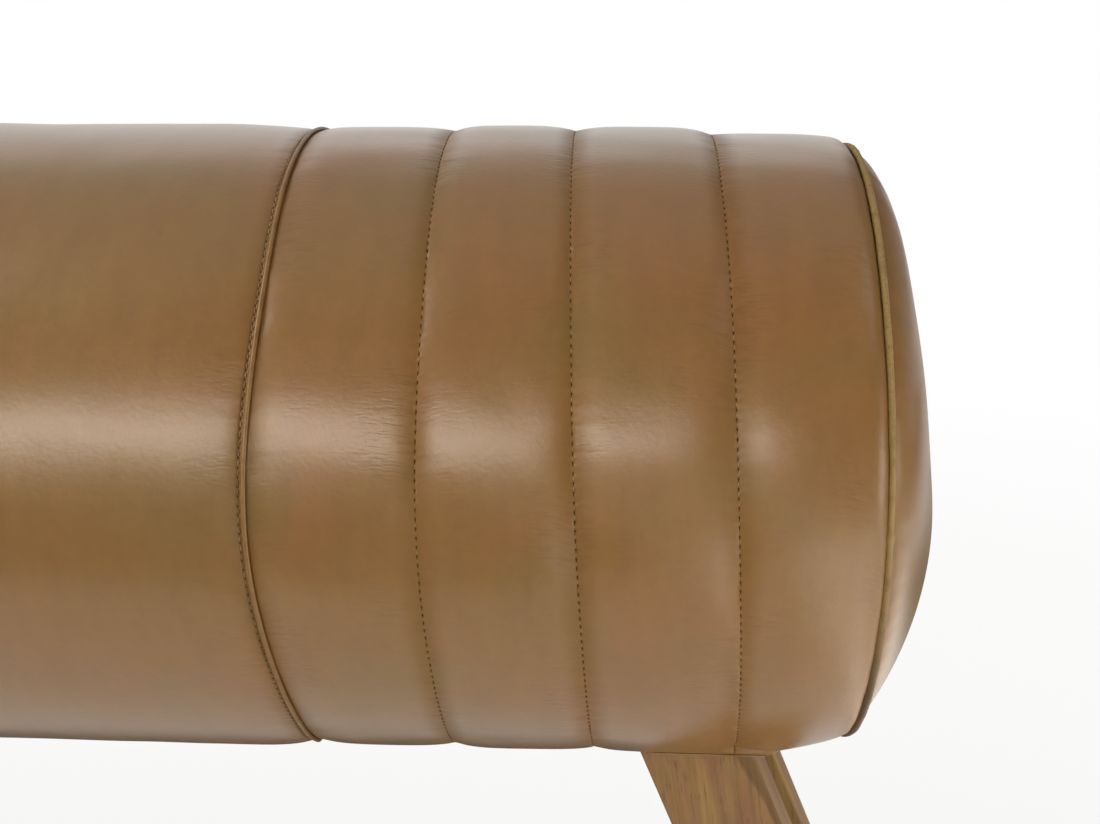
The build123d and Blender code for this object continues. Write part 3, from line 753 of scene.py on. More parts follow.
def cord_finish(name, colours, base_colour, ragged):
    """Thin leather turned over a string: polished low down, and ragged where the flesh side shows on top."""
    material, node, shader, where = new_finish(name)
    speckle = node("TexNoise", {"Vector": where, "Scale": 1 / (1.2 * MM), "Detail": 4.0, "Roughness": 0.7})
    high = node("SeparateXYZ", {0: where}).outputs["Z"]
    flesh = node("MapRange", {0: high, 1: AXIS_Z - 20 * MM, 2: AXIS_Z + 60 * MM, 3: 0.15, 4: 1.0})
    flesh = node("Math", {0: flesh, 1: ragged}, operation="MULTIPLY")
    grey = node("MapRange", {0: speckle, 1: 0.3, 2: 0.7, 3: 0.72, 4: 1.2})
    rubbed = node("Mix", {0: 1.0, 6: base_colour, 7: grey}, **TIMES)
    base = node("Mix", {0: flesh, 6: base_colour, 7: rubbed}, **BLEND)
    stain = node("TexNoise", {"Vector": where, "Scale": 1 / (7 * MM), "Detail": 3.0})
    stain = node("MapRange", {0: stain, 1: 0.5, 2: 0.75, 4: 0.35}, **SMOOTH)
    base = node("Mix", {0: stain, 6: base, 7: colours.hide_shade_and_dirt}, **BLEND)
    # Painted shade darkens it lower down, most on the ragged end cord.
    low = node("MapRange", {0: high, 1: AXIS_Z - 80 * MM, 2: AXIS_Z, 3: 0.9 * ragged, 4: 0.0})
    base = node("Mix", {0: low, 6: base, 7: colours.hide_shade_and_dirt}, **BLEND)
    rough = node("MapRange", {0: flesh, 3: 0.34 + 0.16 * ragged, 4: 0.75})
    relief = node("Math", {0: speckle, 1: flesh}, operation="MULTIPLY")
    relief = node("Bump", {"Height": relief, "Distance": 0.35 * MM, "Strength": 0.8})
    plug(shader, Base_Color=base, Roughness=rough, Normal=relief, Specular_IOR_Level=0.7 - 0.45 * ragged)
    return material


def thread_finish(colours):
    """Two-ply waxed linen, matt and fibrous, stained by the wax of the hide."""
    material, node, shader, where = new_finish("waxed linen thread")
    stain = node("TexNoise", {"Vector": where, "Scale": 1 / (9 * MM), "Detail": 3.0})
    stain = node("MapRange", {0: stain, 1: 0.4, 2: 0.65}, **SMOOTH)
    base = node("Mix", {0: stain, 6: colours.thread, 7: colours.hide_olive}, **BLEND)
    ply = node("TexNoise", {"Vector": where, "Scale": 1 / (0.5 * MM), "Detail": 2.0})
    grey = node("MapRange", {0: ply, 1: 0.3, 2: 0.7, 3: 0.75, 4: 1.1})
    base = node("Mix", {0: 1.0, 6: base, 7: grey}, **TIMES)
    relief = node("Bump", {"Height": ply, "Distance": 0.1 * MM})
    plug(shader, Base_Color=base, Normal=relief, Roughness=0.6)
    return material


def wood_finish(name, light, dark, pore, grain_turn, shift, coarse=1.0, gloss=0.5, edge=None):
    """Planed and oiled wood: broad soft bands, fibres along the grain, and short open pores.

    The grain runs along Z, turned by grain_turn about Y. coarse makes every feature that many times larger.
    edge is the outward direction and place of an arris along which the body's shadow is painted.
    """
    material, node, shader, where = new_finish(name)
    moved = (shift, 0.7 * shift, 0.3 * shift)
    turned = node("Mapping", {"Vector": where, "Rotation": (0, -grain_turn, 0), "Location": moved})
    # Sapwood and heartwood change over about 30 mm across the grain, with softer streaks 5 mm wide between.
    # These scales are in features to a metre, twice across the grain and once along it.
    across = node("Mapping", {"Vector": turned, "Scale": tuple(v / coarse for v in (34, 34, 4))})
    wild = {"Vector": across, "Scale": 1.0, "Detail": 5.0, "Roughness": 0.6, "Distortion": 0.7}
    bands = node("TexNoise", wild)
    share = node("MapRange", {0: bands, 1: 0.38, 2: 0.62}, **SMOOTH)
    base = node("Mix", {0: share, 6: light, 7: dark}, **BLEND)
    # Fibres, drawn 1.4 mm wide so that they show, and 40 mm long.
    along = node("Mapping", {"Vector": turned, "Scale": tuple(v / coarse for v in (700, 700, 26))})
    fibres = node("TexNoise", {"Vector": along, "Scale": 1.0, "Detail": 3.0, "Roughness": 0.6})
    wide = node("Mapping", {"Vector": turned, "Scale": tuple(v / coarse for v in (190, 190, 9))})
    streaks = node("TexNoise", {"Vector": wide, "Scale": 1.0, "Detail": 3.0, "Distortion": 0.4})
    grey = node("Math", {0: streaks, 1: fibres}, operation="ADD")
    grey = node("MapRange", {0: grey, 1: 0.65, 2: 1.35, 3: 0.72, 4: 1.2})
    base = node("Mix", {0: 1.0, 6: base, 7: grey}, **TIMES)
    # Pores, drawn 0.9 mm wide so that they show, and 8 mm long.
    fine = node("Mapping", {"Vector": turned, "Scale": tuple(v / coarse for v in (1100, 1100, 130))})
    pores = node("TexNoise", {"Vector": fine, "Scale": 1.0, "Detail": 1.0})
    pores = node("MapRange", {0: pores, 1: 0.6, 2: 0.74, 4: 0.36}, **SMOOTH)
    base = node("Mix", {0: pores, 6: base, 7: pore}, **BLEND)
    if edge:
        # Painted shadow of the body: a dark wedge in the pore colour along the outer arris of the front and
        # back faces, wider at the top under the body and narrower lower down.
        direction, reach = edge
        out = node("VectorMath", {0: where, 1: direction}, operation="DOT_PRODUCT").outputs["Value"]
        depth = node("Math", {0: reach, 1: out}, operation="SUBTRACT")
        high = node("SeparateXYZ", {0: where}).outputs["Z"]
        width = node("MapRange", {0: high, 1: 0.15, 2: 0.2, 3: 1.5 * MM, 4: 7 * MM})
        depth = node("Math", {0: depth, 1: width}, operation="SUBTRACT")
        depth = node("Math", {0: streaks, 1: 5 * MM, 2: depth}, operation="MULTIPLY_ADD")
        arris_shade = node("MapRange", {0: depth, 1: 1.6 * MM, 2: 3.4 * MM, 3: 0.6, 4: 0.0}, **SMOOTH)
        wide = node("SeparateXYZ", {0: where}).outputs["Y"]
        wide = node("Math", {0: wide}, operation="ABSOLUTE")
        face = node("MapRange", {0: wide, 1: -LEG_LOW.y - 2 * MM, 2: -LEG_LOW.y - 0.5 * MM})
        arris_shade = node("Math", {0: arris_shade, 1: face}, operation="MULTIPLY")
        base = node("Mix", {0: arris_shade, 6: base, 7: pore}, **BLEND)
    rough = node("MapRange", {0: fibres, 1: 0.3, 2: 0.7, 3: gloss - 0.06, 4: gloss + 0.08})
    height = node("Math", {0: pores, 1: -2.0, 2: fibres}, operation="MULTIPLY_ADD")
    relief = node("Bump", {"Height": height, "Distance": 0.1 * MM, "Strength": 0.8})
    plug(shader, Base_Color=base, Roughness=rough, Normal=relief, IOR=1.38)
    return material


def plywood_finish(colours):
    """Birch plywood: a pale rotary-cut face with wild figure, and thin light and dark layers on its edges."""
    material, node, shader, where = new_finish("birch plywood")
    wild = node("Mapping", {"Vector": where, "Scale": (12, 60, 60)})
    wild = {"Vector": wild, "Scale": 1.0, "Detail": 4.0, "Roughness": 0.6, "Distortion": 0.8}
    figure = node("TexNoise", wild)
    share = node("MapRange", {0: figure, 1: 0.4, 2: 0.65}, **SMOOTH)
    base = node("Mix", {0: share, 6: colours.plywood, 7: colours.pine}, **BLEND)
    # Veneers 1.4 mm thick, light and dark in turn.
    pair = {"Vector": where, "Scale": 1 / (2.8 * MM) / WAVES_PER_UNIT, "Distortion": 0.4}
    layers = node("TexWave", pair, bands_direction="Z")
    share = node("MapRange", {0: layers.outputs["Fac"], 1: 0.3, 2: 0.7, 4: 0.22})
    base = node("Mix", {0: share, 6: base, 7: colours.beech}, **BLEND)
    relief = node("Bump", {"Height": figure, "Distance": 0.1 * MM, "Strength": 0.6})
    plug(shader, Base_Color=base, Normal=relief, Roughness=0.62)
    return material


def foam_finish(name, base_colour, cell, fuzzy=0.0):
    """Open-celled foam or matted fibre: tiny pits or hairs, matt, a little yellowed in clouds."""
    material, node, shader, where = new_finish(name)
    cells = node("TexVoronoi", {"Vector": where, "Scale": 1 / cell})
    pits = node("MapRange", {0: cells.outputs["Distance"], 1: 0.1, 2: 0.8, 3: 0.82, 4: 1.05})
    clouds = node("TexNoise", {"Vector": where, "Scale": 1 / (50 * MM), "Detail": 3.0})
    yellowed = node("MapRange", {0: clouds, 1: 0.3, 2: 0.7, 3: 0.9, 4: 1.05})
    grey = node("Math", {0: pits, 1: yellowed}, operation="MULTIPLY")
    base = node("Mix", {0: 1.0, 6: base_colour, 7: grey}, **TIMES)
    relief = node("Bump", {"Height": cells.outputs["Distance"], "Distance": cell, "Strength": 0.7})
    plug(shader, Base_Color=base, Normal=relief, Roughness=0.92, Sheen_Weight=fuzzy)
    return material


def cloth_finish(colours):
    """Black plain-weave cover cloth: threads every 0.9 mm both ways, and a little lint."""
    material, node, shader, where = new_finish("black cover cloth")
    threads = {"Vector": where, "Scale": 1 / (0.9 * MM) / WAVES_PER_UNIT}
    warp, weft = (node("TexWave", threads, bands_direction=way).outputs["Fac"] for way in "XY")
    weave = node("Math", {0: warp, 1: weft}, operation="MAXIMUM")
    lint = node("TexNoise", {"Vector": where, "Scale": 1 / (1.6 * MM), "Detail": 3.0, "Roughness": 0.7})
    lint = node("MapRange", {0: lint, 1: 0.58, 2: 0.75, 4: 0.35}, **SMOOTH)
    base = node("Mix", {0: lint, 6: colours.cloth, 7: colour("#565349")}, **BLEND)
    grey = node("MapRange", {0: weave, 1: 0.3, 2: 0.7, 3: 0.7, 4: 1.2})
    base = node("Mix", {0: 1.0, 6: base, 7: grey}, **TIMES)
    relief = node("Bump", {"Height": weave, "Distance": 0.25 * MM, "Strength": 0.8})
    plug(shader, Base_Color=base, Normal=relief, Roughness=0.85, Sheen_Weight=0.15)
    return material


def metal_finish(name, base_colour, rough):
    """Plated or turned metal, with faint clouds and handling marks 4 mm across."""
    material, node, shader, where = new_finish(name)
    clouds = node("TexNoise", {"Vector": where, "Scale": 1 / (4 * MM), "Detail": 4.0, "Roughness": 0.6})
    grey = node("MapRange", {0: clouds, 1: 0.3, 2: 0.7, 3: 0.85, 4: 1.08})
    base = node("Mix", {0: 1.0, 6: base_colour, 7: grey}, **TIMES)
    uneven = node("MapRange", {0: clouds, 1: 0.3, 2: 0.7, 3: rough - 0.08, 4: rough + 0.12})
    plug(shader, Base_Color=base, Roughness=uneven, Metallic=1.0)
    return material


def plastic_finish(colours):
    """Injection-moulded nylon, slightly grained and scuffed from the floor."""
    material, node, shader, where = new_finish("moulded nylon")
    scuffs = node("TexNoise", {"Vector": where, "Scale": 1 / (2 * MM), "Detail": 5.0, "Roughness": 0.7})
    worn = node("MapRange", {0: scuffs, 1: 0.5, 2: 0.75, 4: 0.3}, **SMOOTH)
    base = node("Mix", {0: worn, 6: colours.plastic, 7: colour("#625951")}, **BLEND)
    rough = node("MapRange", {0: scuffs, 1: 0.3, 2: 0.7, 3: 0.42, 4: 0.62})
    relief = node("Bump", {"Height": scuffs, "Distance": 0.1 * MM, "Strength": 0.5})
    plug(shader, Base_Color=base, Roughness=rough, Normal=relief)
    return material


# Pieces


def settings(context):
    return context.scene.bench_sizes, context.scene.bench_colours


class BENCH_OT_middle_panel(bpy.types.Operator):
    """Makes the plain middle panel, rolled down to its two corded seams"""

    bl_idname = "bench.middle_panel"
    bl_label = "Middle panel"

    def execute(self, context):
        size, colours = settings(context)
        edge = WELT_X - size.welt_radius
        row = stitch_row_x(size)
        halves = stations(0, 2 * edge, 6.5 * MM)
        right = halves[halves > edge] - edge
        near_row = row + np.linspace(-1.2, 1.2, 9) * MM
        right = np.sort(np.concatenate([right, near_row]))
        x = np.concatenate([-right[::-1], right])
        material = leather_finish("waxed hide, middle panel", size, colours, True)
        radius_of = partial(centre_radius, size)
        leather_panel(size, "skin_middle_panel", 0, x, radius_of, material, ["leather_centre_panel"])
        return {"FINISHED"}


class BENCH_OT_channels(bpy.types.Operator):
    """Makes the four sewn channels at each end"""

    bl_idname = "bench.channels"
    bl_label = "Sewn channels"

    def execute(self, context):
        size, colours = settings(context)
        material = leather_finish("waxed hide, channels", size, colours, True)
        for name, end in ENDS.items():
            for n in range(CHANNELS):
                x = stations(*channel_span(size, n), 2.6 * MM)
                radius_of = partial(channel_radius, size, n, end)
                node = f"channel_{name}_{n + 1}"
                leather_panel(size, f"skin_{node}", end, x, radius_of, material, [node])
        return {"FINISHED"}


class BENCH_OT_end_caps(bpy.types.Operator):
    """Makes the puffed domed end skins, with their edges turned in under the bench"""

    bl_idname = "bench.end_caps"
    bl_label = "Domed ends"

    def execute(self, context):
        size, colours = settings(context)
        material = leather_finish("waxed hide, domed ends", size, colours, False, 0.6)
        count = 760
        turn = np.linspace(-np.pi, np.pi, count, endpoint=False)[None, :]
        rim_x = END_RING_X + 1.2 * MM
        for name, end in ENDS.items():
            blocks, skin_v = [], []
            for inset, steps in ((0.0, 60), (size.leather, 14)):
                share = dome_shares(0.012, steps)
                y, z, rise = dome_points(size, end, turn, share, inset)
                x = rim_x + rise + end_line(z)
                rim_y, rim_z = end_ring(size, turn, size.end_ring_radius - inset)
                # Underneath, the skin runs on inwards as a flat tongue; elsewhere it ends behind the cord.
                flat = np.clip((-rim_z / size.underside_drop - 0.985) / 0.01, 0, 1)
                tuck = np.array([[0.25], [0.6], [1.0]])
                run = between(2.6 * MM, 40 * MM, flat)
                tuck_x = rim_x - inset + end_line(rim_z) - run * tuck
                tuck_y = rim_y * (1 - 0.012 * tuck * (1 - flat))
                tuck_z = between(rim_z * (1 - 0.012 * tuck), rim_z + inset, flat)
                block = np.concatenate([[x, y, z], [tuck_x, tuck_y, tuck_z]], axis=1)
                away = np.concatenate([1 - share, -0.02 * tuck]) * size.end_ring_radius
                onward = 1 if inset == 0 else -1
                blocks.append(np.moveaxis(block, 0, -1)[::onward])
                skin_v.append(away[::onward])
            points = np.concatenate(blocks) * (end, 1, 1) + (0, 0, AXIS_Z)
            away = np.concatenate(skin_v)
            uv = np.stack(np.broadcast_arrays(away, turn * size.end_ring_radius), axis=-1)
            marks = {"to_seam": np.clip(away, 0, None) / MM, "to_stitch": 50 + 0 * away}
            piece = grid_piece(f"skin_end_cap_{name}", points, wrap_cols=True, uv=uv, marks=marks)
            dress(piece, material, [f"end_cap_{name}"])
        return {"FINISHED"}


class BENCH_OT_cords(bpy.types.Operator):
    """Makes the thin welt beside the middle panel and the rough cord round each domed end"""

    bl_idname = "bench.cords"
    bl_label = "Cords in the seams"

    def execute(self, context):
        size, colours = settings(context)
        welt = cord_finish("leather over string, welt", colours, colours.hide, 0.15)
        rough = cord_finish("leather over string, end cord", colours, colours.cord, 1.0)
        reach = sum(section_runs(size)) + 6 * MM
        along = np.arange(-reach, reach, 1.2 * MM)
        seat = seam_radius(size, 0, facing_up(size, along)) + 0.75 * MM
        for name, end in ENDS.items():
            radius = seat + waves(51 + end, 0, along, 14 * MM, 60 * MM) * 0.12 * MM
            thick = size.welt_radius * (1 + waves(55 + end, 0, along, 5 * MM, 25 * MM) * 0.05)
            radius = hold_underneath(size, radius[None, :], along[None, :])[0]
            piece = tube(f"welt_{name}", size, end * WELT_X, radius, along, thick, 14, end)
            dress(piece, welt, [f"seam_cord_{name}"])
            self.end_cord(size, name, end, rough)
        return {"FINISHED"}

    def end_cord(self, size, name, end, material):
        """A circle carried round the end ring: thicker low down, ragged, and with the lap of its two ends."""
        ring = size.end_ring_radius + 0.9 * MM
        stop = math.acos((size.underside_drop + size.end_ring_lift - 2.2 * MM) / ring)
        turn = np.linspace(-(math.pi - stop), math.pi - stop, 900)
        sides = np.linspace(0, 2 * np.pi, 16, endpoint=False)
        along = turn * ring
        low, high = np.clip(-np.cos(turn), 0, 1), np.clip(np.cos(turn), 0, 1)
        swell = 1 + 1.5 * low**1.1 + 0.2 * high + waves(61 + end, 0, along, 8 * MM, 50 * MM) * 0.07
        lap = 0.45 * np.exp(-(((turn + np.radians(92)) * ring / (2.2 * MM)) ** 2))
        thick = size.end_cord_radius * (swell + lap)
        ragged = waves(63 + end, sides[None, :] * 6 * MM, along[:, None], 1.1 * MM, 4 * MM, 22) * 0.07 * MM
        ragged = ragged * (1 + 1.5 * high[:, None])
        r = (thick[:, None] + ragged) * round_tips(along, 2 * MM, 0.03)[:, None]
        out_y, out_z = np.sin(turn)[:, None], np.cos(turn)[:, None]
        ring = ring + 1.3 * MM * low[:, None]
        y = (ring + r * np.cos(sides)) * out_y
        z = size.end_ring_lift + (ring + r * np.cos(sides)) * out_z
        x = END_RING_X + size.end_cord_radius - 0.1 * MM + r * np.sin(sides) + end_line(z)
        points = np.stack([end * x, y, z + AXIS_Z], axis=-1)
        uv = np.stack(np.broadcast_arrays(along[:, None], sides * size.end_cord_radius), axis=-1)
        piece = grid_piece(f"end_welt_{name}", points, wrap_cols=True, uv=uv)
        dress(piece, material, [f"end_cord_{name}"])


class BENCH_OT_stitching(bpy.types.Operator):
    """Sews the thread rows: one beside each welt, and one in each valley between channels"""

    bl_idname = "bench.stitching"
    bl_label = "Stitching"

    def execute(self, context):
        size, colours = settings(context)
        material = thread_finish(colours)
        row = stitch_row_x(size)

        def beside(along):
            return centre_radius(size, row, along, False) - 0.5 * MM

        for name, end in ENDS.items():
            stitch_row(f"stitches_{name}_welt", size, end, row, beside, material, 0.75 * MM, 0.25 * MM)
            for seam in range(1, CHANNELS):

                def valley(along, seam=seam):
                    up = np.cos(along / size.body_radius)
                    return seam_radius(size, seam, up) - size.fold_radius

                x = seam_places(size)[seam]
                stitch_row(f"stitches_{name}_{seam}", size, end, x, valley, material, 0.55 * MM, 0.1 * MM)
        return {"FINISHED"}


class BENCH_OT_padding(bpy.types.Operator):
    """Makes the wadding, the foam wrap and the two end pads under the leather"""

    bl_idname = "bench.padding"
    bl_label = "Padding"

    def execute(self, context):
        size, colours = settings(context)
        wadding = foam_finish("polyester wadding", colours.wadding, 0.9 * MM, 0.3)
        foam = foam_finish("cushion foam", colours.foam, 1.3 * MM)
        self.wadding(size, wadding)
        self.foam_wrap(foam)
        for name, end in ENDS.items():
            self.end_pad(size, name, end, foam)
        return {"FINISHED"}

    def wadding(self, size, material):
        """A fluted sleeve between the foam and the leather, open where it stands over the base board."""
        low, high = node_box("foam_wrap")
        clear = 0.3 * MM
        inner_radius = (high.y - low.y) / 2 + clear
        board_side, floor = BOARD_HIGH.y + clear, size.underside_drop - size.leather - clear
        shelf = AXIS_Z - BOARD_HIGH.z + clear
        seams = seam_places(size)
        flutes = [stations(*channel_span(size, n), 6 * MM, 0.9 * MM, 1.5) for n in range(CHANNELS)]
        middle = [np.linspace(0, seams[0] - 30 * MM, 9), seams[0] - np.array([16, 8, 4, 2]) * MM]
        right = np.concatenate([*middle, *flutes])
        right = right[right < BOARD_HIGH.x - 0.2 * MM]
        x = np.concatenate([-right[:0:-1], right])[:, None]
        along = columns(size, 6 * MM)[None, :]
        skin = np.concatenate([self.skin_radius(size, place, along) for place in x[:, 0]])
        radius = hold_underneath(size, skin - size.leather - 0.5 * MM, along)
        y, z, _, _ = body_section(size, radius, along, board_side)
        z = np.maximum(z, -floor)
        outer = along_bench((y, z), x, lean_of(size, x, z))
        arc, _ = section_runs(size)
        reach = math.acos(-shelf / inner_radius)
        share = np.clip(np.abs(along) / arc, 0, 1)
        past = np.clip((np.abs(along) - arc) / (np.abs(along).max() - arc), 0, 1)
        turn = reach * share * np.sign(along)
        low_y = between(inner_radius * math.sin(reach), board_side, past) * np.sign(along)
        y = np.where(np.abs(along) <= arc, inner_radius * np.sin(turn), low_y)
        z = np.where(np.abs(along) <= arc, inner_radius * np.cos(turn), -shelf + 0 * low_y)
        back = x[::-1][::3]
        back = np.concatenate([x[-1:], back[1:-1], x[:1]])
        y, z = (np.broadcast_to(v, (len(back), along.shape[1])) for v in (y, z))
        inner = along_bench((y, z), back, 0)
        piece = grid_piece("padding_wadding", np.concatenate([outer, inner]), wrap_rows=True)
        dress(piece, material, ["wadding_wrap"])

    def skin_radius(self, size, place, along):
        """The leather's radius at one place along the bench, whichever panel that is."""
        spans = [channel_span(size, n) for n in range(CHANNELS)]
        if abs(place) <= spans[0][0]:
            return centre_radius(size, place, along, False)
        n = next(n for n in range(CHANNELS) if abs(place) <= spans[n][1] + 0.2 * MM)
        return channel_radius(size, n, 1 if place > 0 else -1, place, along, False)

    def foam_wrap(self, material):
        """A thick sleeve of foam round the slats, cut level above the base board."""
        low, high = node_box("foam_wrap")
        outer_radius = (high.y - low.y) / 2
        inner_radius = outer_radius - 18 * MM
        shelf = AXIS_Z - low.z
        share = np.linspace(-1, 1, 150)[None, :]
        x = np.linspace(low.x, high.x, 30)[:, None]
        blocks = []
        for radius, places, soft in ((outer_radius, x, 1), (inner_radius, x[::-1], 0)):
            turn = math.acos(-shelf / radius) * share
            ease = waves(71, places, turn * radius, 40 * MM, 120 * MM) * 0.1 * MM - 0.15 * MM
            eased = radius + soft * ease * np.minimum(1, 8 * (1 - np.abs(share)))
            blocks.append(along_bench((eased * np.sin(turn), eased * np.cos(turn)), places, 0))
        piece = grid_piece("padding_foam_wrap", np.concatenate(blocks), wrap_rows=True)
        dress(piece, material, ["foam_wrap"])

    def end_pad(self, size, name, end, material):
        """A domed block of foam behind each end skin."""
        low, _ = node_box("end_foam_right")
        turn = np.linspace(-np.pi, np.pi, 180, endpoint=False)[None, :]
        inset = size.leather + 0.9 * MM
        share = dome_shares(0.02, 26)
        y, z, rise = dome_points(size, end, turn, share, inset)
        front = np.stack([END_RING_X + rise - 0.4 * MM, y, z], axis=-1)
        rim_y, rim_z = end_ring(size, turn, size.end_ring_radius - inset)
        back_share = np.linspace(1, 0.02, 8)[:, None]
        back = np.stack([low.x + 0 * back_share * rim_y, back_share * rim_y, back_share * rim_z], axis=-1)
        points = np.concatenate([front, back])
        points[..., 2] = np.maximum(points[..., 2], -(size.underside_drop - size.leather - 0.6 * MM))
        points = points * (end, 1, 1) + (0, 0, AXIS_Z)
        piece = grid_piece(f"padding_end_{name}", points, wrap_cols=True)
        dress(piece, material, [f"end_foam_{name}"])


def lean_of(size, x, z):
    """The seams' lean for places on either side of the middle."""
    return np.where(x >= 0, lean(size, x, z, 1), -lean(size, x, z, -1))


class BENCH_OT_dust_cover(bpy.types.Operator):
    """Makes the black cloth under the bench, hemmed, stapled and cut out for the legs"""

    bl_idname = "bench.dust_cover"
    bl_label = "Dust cover"

    def execute(self, context):
        _, colours = settings(context)
        half_x, half_y = COVER_HIGH.x, COVER_HIGH.y
        notch = [LEG_LOW.x - 0.6 * MM, LEG_LOW.x + LEG_RUN + 1.2 * MM]
        sides = [n + d for n in notch for d in (-0.1 * MM, 0.1 * MM)]
        hem_width = 10 * MM
        hem_places = half_x - np.array([MM, hem_width - MM, hem_width])
        right = np.sort(np.concatenate([np.linspace(0, half_x, 90), sides, hem_places]))
        x = np.concatenate([-right[:0:-1], right])[:, None]
        share = np.concatenate([[-1, -0.985], np.linspace(-0.8, 0.8, 21), [0.985, 1]])[None, :]
        in_notch = (np.abs(x) > notch[0]) & (np.abs(x) < notch[1])
        y = np.where(in_notch, -LEG_HIGH.y - 0.5 * MM, half_y) * share
        into_hem = (np.abs(y) - half_y + hem_width, np.abs(x) - half_x + hem_width)
        hem = np.clip(sum(np.clip(depth / MM, 0, 1) for depth in into_hem), 0, 1)
        slack = (waves(81, x, y, 50 * MM, 140 * MM) * 0.5 - 0.5) * 0.7 * MM * (1 - hem) * (1 - share**4)
        top = COVER_HIGH.z - 0.05 * MM + slack
        low = top - between(0.55 * MM, 0.95 * MM, hem)
        bottom_grid, top_grid = (np.stack([x + 0 * y, y, z], axis=-1) for z in (low, top))
        rows, cols = y.shape
        flat, _ = grid_faces(rows, cols)
        index = np.arange(rows * cols).reshape(rows, cols)
        edge = np.concatenate([index[:, 0], index[-1, 1:], index[-2::-1, -1], index[0, -2:0:-1]])
        onward, more = np.roll(edge, -1), rows * cols
        walls = np.stack([edge, edge + more, onward + more, onward], axis=-1)
        quads = np.concatenate([flat, flat[:, ::-1] + more, walls])
        points = np.concatenate([bottom_grid.reshape(-1, 3), top_grid.reshape(-1, 3)])
        piece = mesh_from("cover_cloth", points, quads, [])
        dress(piece, cloth_finish(colours), ["dust_cover"])
        return {"FINISHED"}


def give_finish(names, material):
    """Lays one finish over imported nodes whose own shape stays."""
    for name in names:
        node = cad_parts[name]
        if not node.data.materials:
            node.data.materials.append(material)
        for slot in node.material_slots:
            slot.material = material


class BENCH_OT_legs(bpy.types.Operator):
    """Gives the legs their oiled hardwood, with its grain along each slant, and the glides their plastic"""

    bl_idname = "bench.legs"
    bl_label = "Legs and glides"

    def execute(self, context):
        _, colours = settings(context)
        out_x, out_z = math.cos(LEG_TILT), math.sin(LEG_TILT)
        for end_name, end in ENDS.items():
            for side_name, side in SIDES.items():
                tones = (colours.wood, colours.wood_red, colours.wood_pore)
                # The legs were cut across a wide board, so their grain stands steeper than they do.
                grain_turn, shift = -0.4 * end * LEG_TILT, 0.37 * end + 0.11 * side
                # The outer arris, along which the body's shadow is painted.
                edge = ((end * out_x, 0, out_z), LEG_HIGH.x * out_x + LEG_LOW.z * out_z)
                name = f"oiled hardwood, {side_name} {end_name}"
                material = wood_finish(name, *tones, grain_turn, shift, gloss=0.64, edge=edge)
                give_finish([f"leg_{side_name}_{end_name}"], material)
        plastic = plastic_finish(colours)
        give_finish([f"foot_glide_{s}_{e}" for s in SIDES for e in ENDS], plastic)
        return {"FINISHED"}


class BENCH_OT_frame_wood(bpy.types.Operator):
    """Gives the base board, ribs, slats and blocks inside the body their woods"""

    bl_idname = "bench.frame_wood"
    bl_label = "Wooden frame"

    def execute(self, context):
        _, colours = settings(context)
        ribs = [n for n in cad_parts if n.startswith(("rib_", "end_bulkhead")) and n != "rib_screws"]
        give_finish(["base_board", *ribs], plywood_finish(colours))
        lying = math.pi / 2
        tones = (colours.pine, colours.plywood, colours.beech)
        pine = wood_finish("planed pine", *tones, lying, 0.1, coarse=2.2, gloss=0.58)
        give_finish([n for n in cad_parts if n.startswith("slat_") and n != "slat_nails"], pine)
        tones = (colours.beech, colours.pine, colours.wood_pore)
        beech = wood_finish("steamed beech", *tones, lying, 0.2, coarse=1.4)
        give_finish([*(f"leg_block_{e}" for e in ENDS), "leg_dowels"], beech)
        return {"FINISHED"}


class BENCH_OT_fixings(bpy.types.Operator):
    """Gives the bolts, washers, screws, nails, staples and inserts their metals"""

    bl_idname = "bench.fixings"
    bl_label = "Fixings"

    def execute(self, context):
        _, colours = settings(context)
        steel = metal_finish("zinc plated steel", colours.steel, 0.32)
        fixings = ["leg_bolts", "leg_bolt_washers", "glide_nails", "rib_screws", "slat_nails", "staples"]
        give_finish(fixings, steel)
        give_finish(["leg_inserts"], metal_finish("turned brass", colours.brass, 0.28))
        return {"FINISHED"}


# Studio

# Camera fitted to the photograph: it stands low in front of the right end and looks slightly down.
CAMERA_PLACE = (0.3932, -0.6695, 0.5078)
CAMERA_YAW, CAMERA_PITCH, CAMERA_ROLL = (math.radians(a) for a in (-2.94, 13.80, 0.15))
CAMERA_LENS, CAMERA_SENSOR = 46.01, 36.0


def camera_turn():
    """The camera's axes: right, up and backwards."""
    level = math.cos(CAMERA_PITCH)
    ahead = Vector((math.sin(CAMERA_YAW) * level, math.cos(CAMERA_YAW) * level, -math.sin(CAMERA_PITCH)))
    right = Vector((math.cos(CAMERA_YAW), -math.sin(CAMERA_YAW), 0))
    up = right.cross(ahead)
    c, s = math.cos(CAMERA_ROLL), math.sin(CAMERA_ROLL)
    return Matrix((c * right + s * up, c * up - s * right, -ahead)).transposed()


def soft_light(name, place, target, width, height, power, tone="#FFFFFF"):
    data = bpy.data.lights.new(name, "AREA")
    data.color = colour(tone)
    data.shape, data.size, data.size_y, data.energy = "RECTANGLE", width, height, power
    lamp = bpy.data.objects.new(name, data)
    lamp.location = place
    lamp.rotation_euler = (Vector(target) - Vector(place)).to_track_quat("-Z", "Y").to_euler()
    bpy.context.scene.collection.objects.link(lamp)


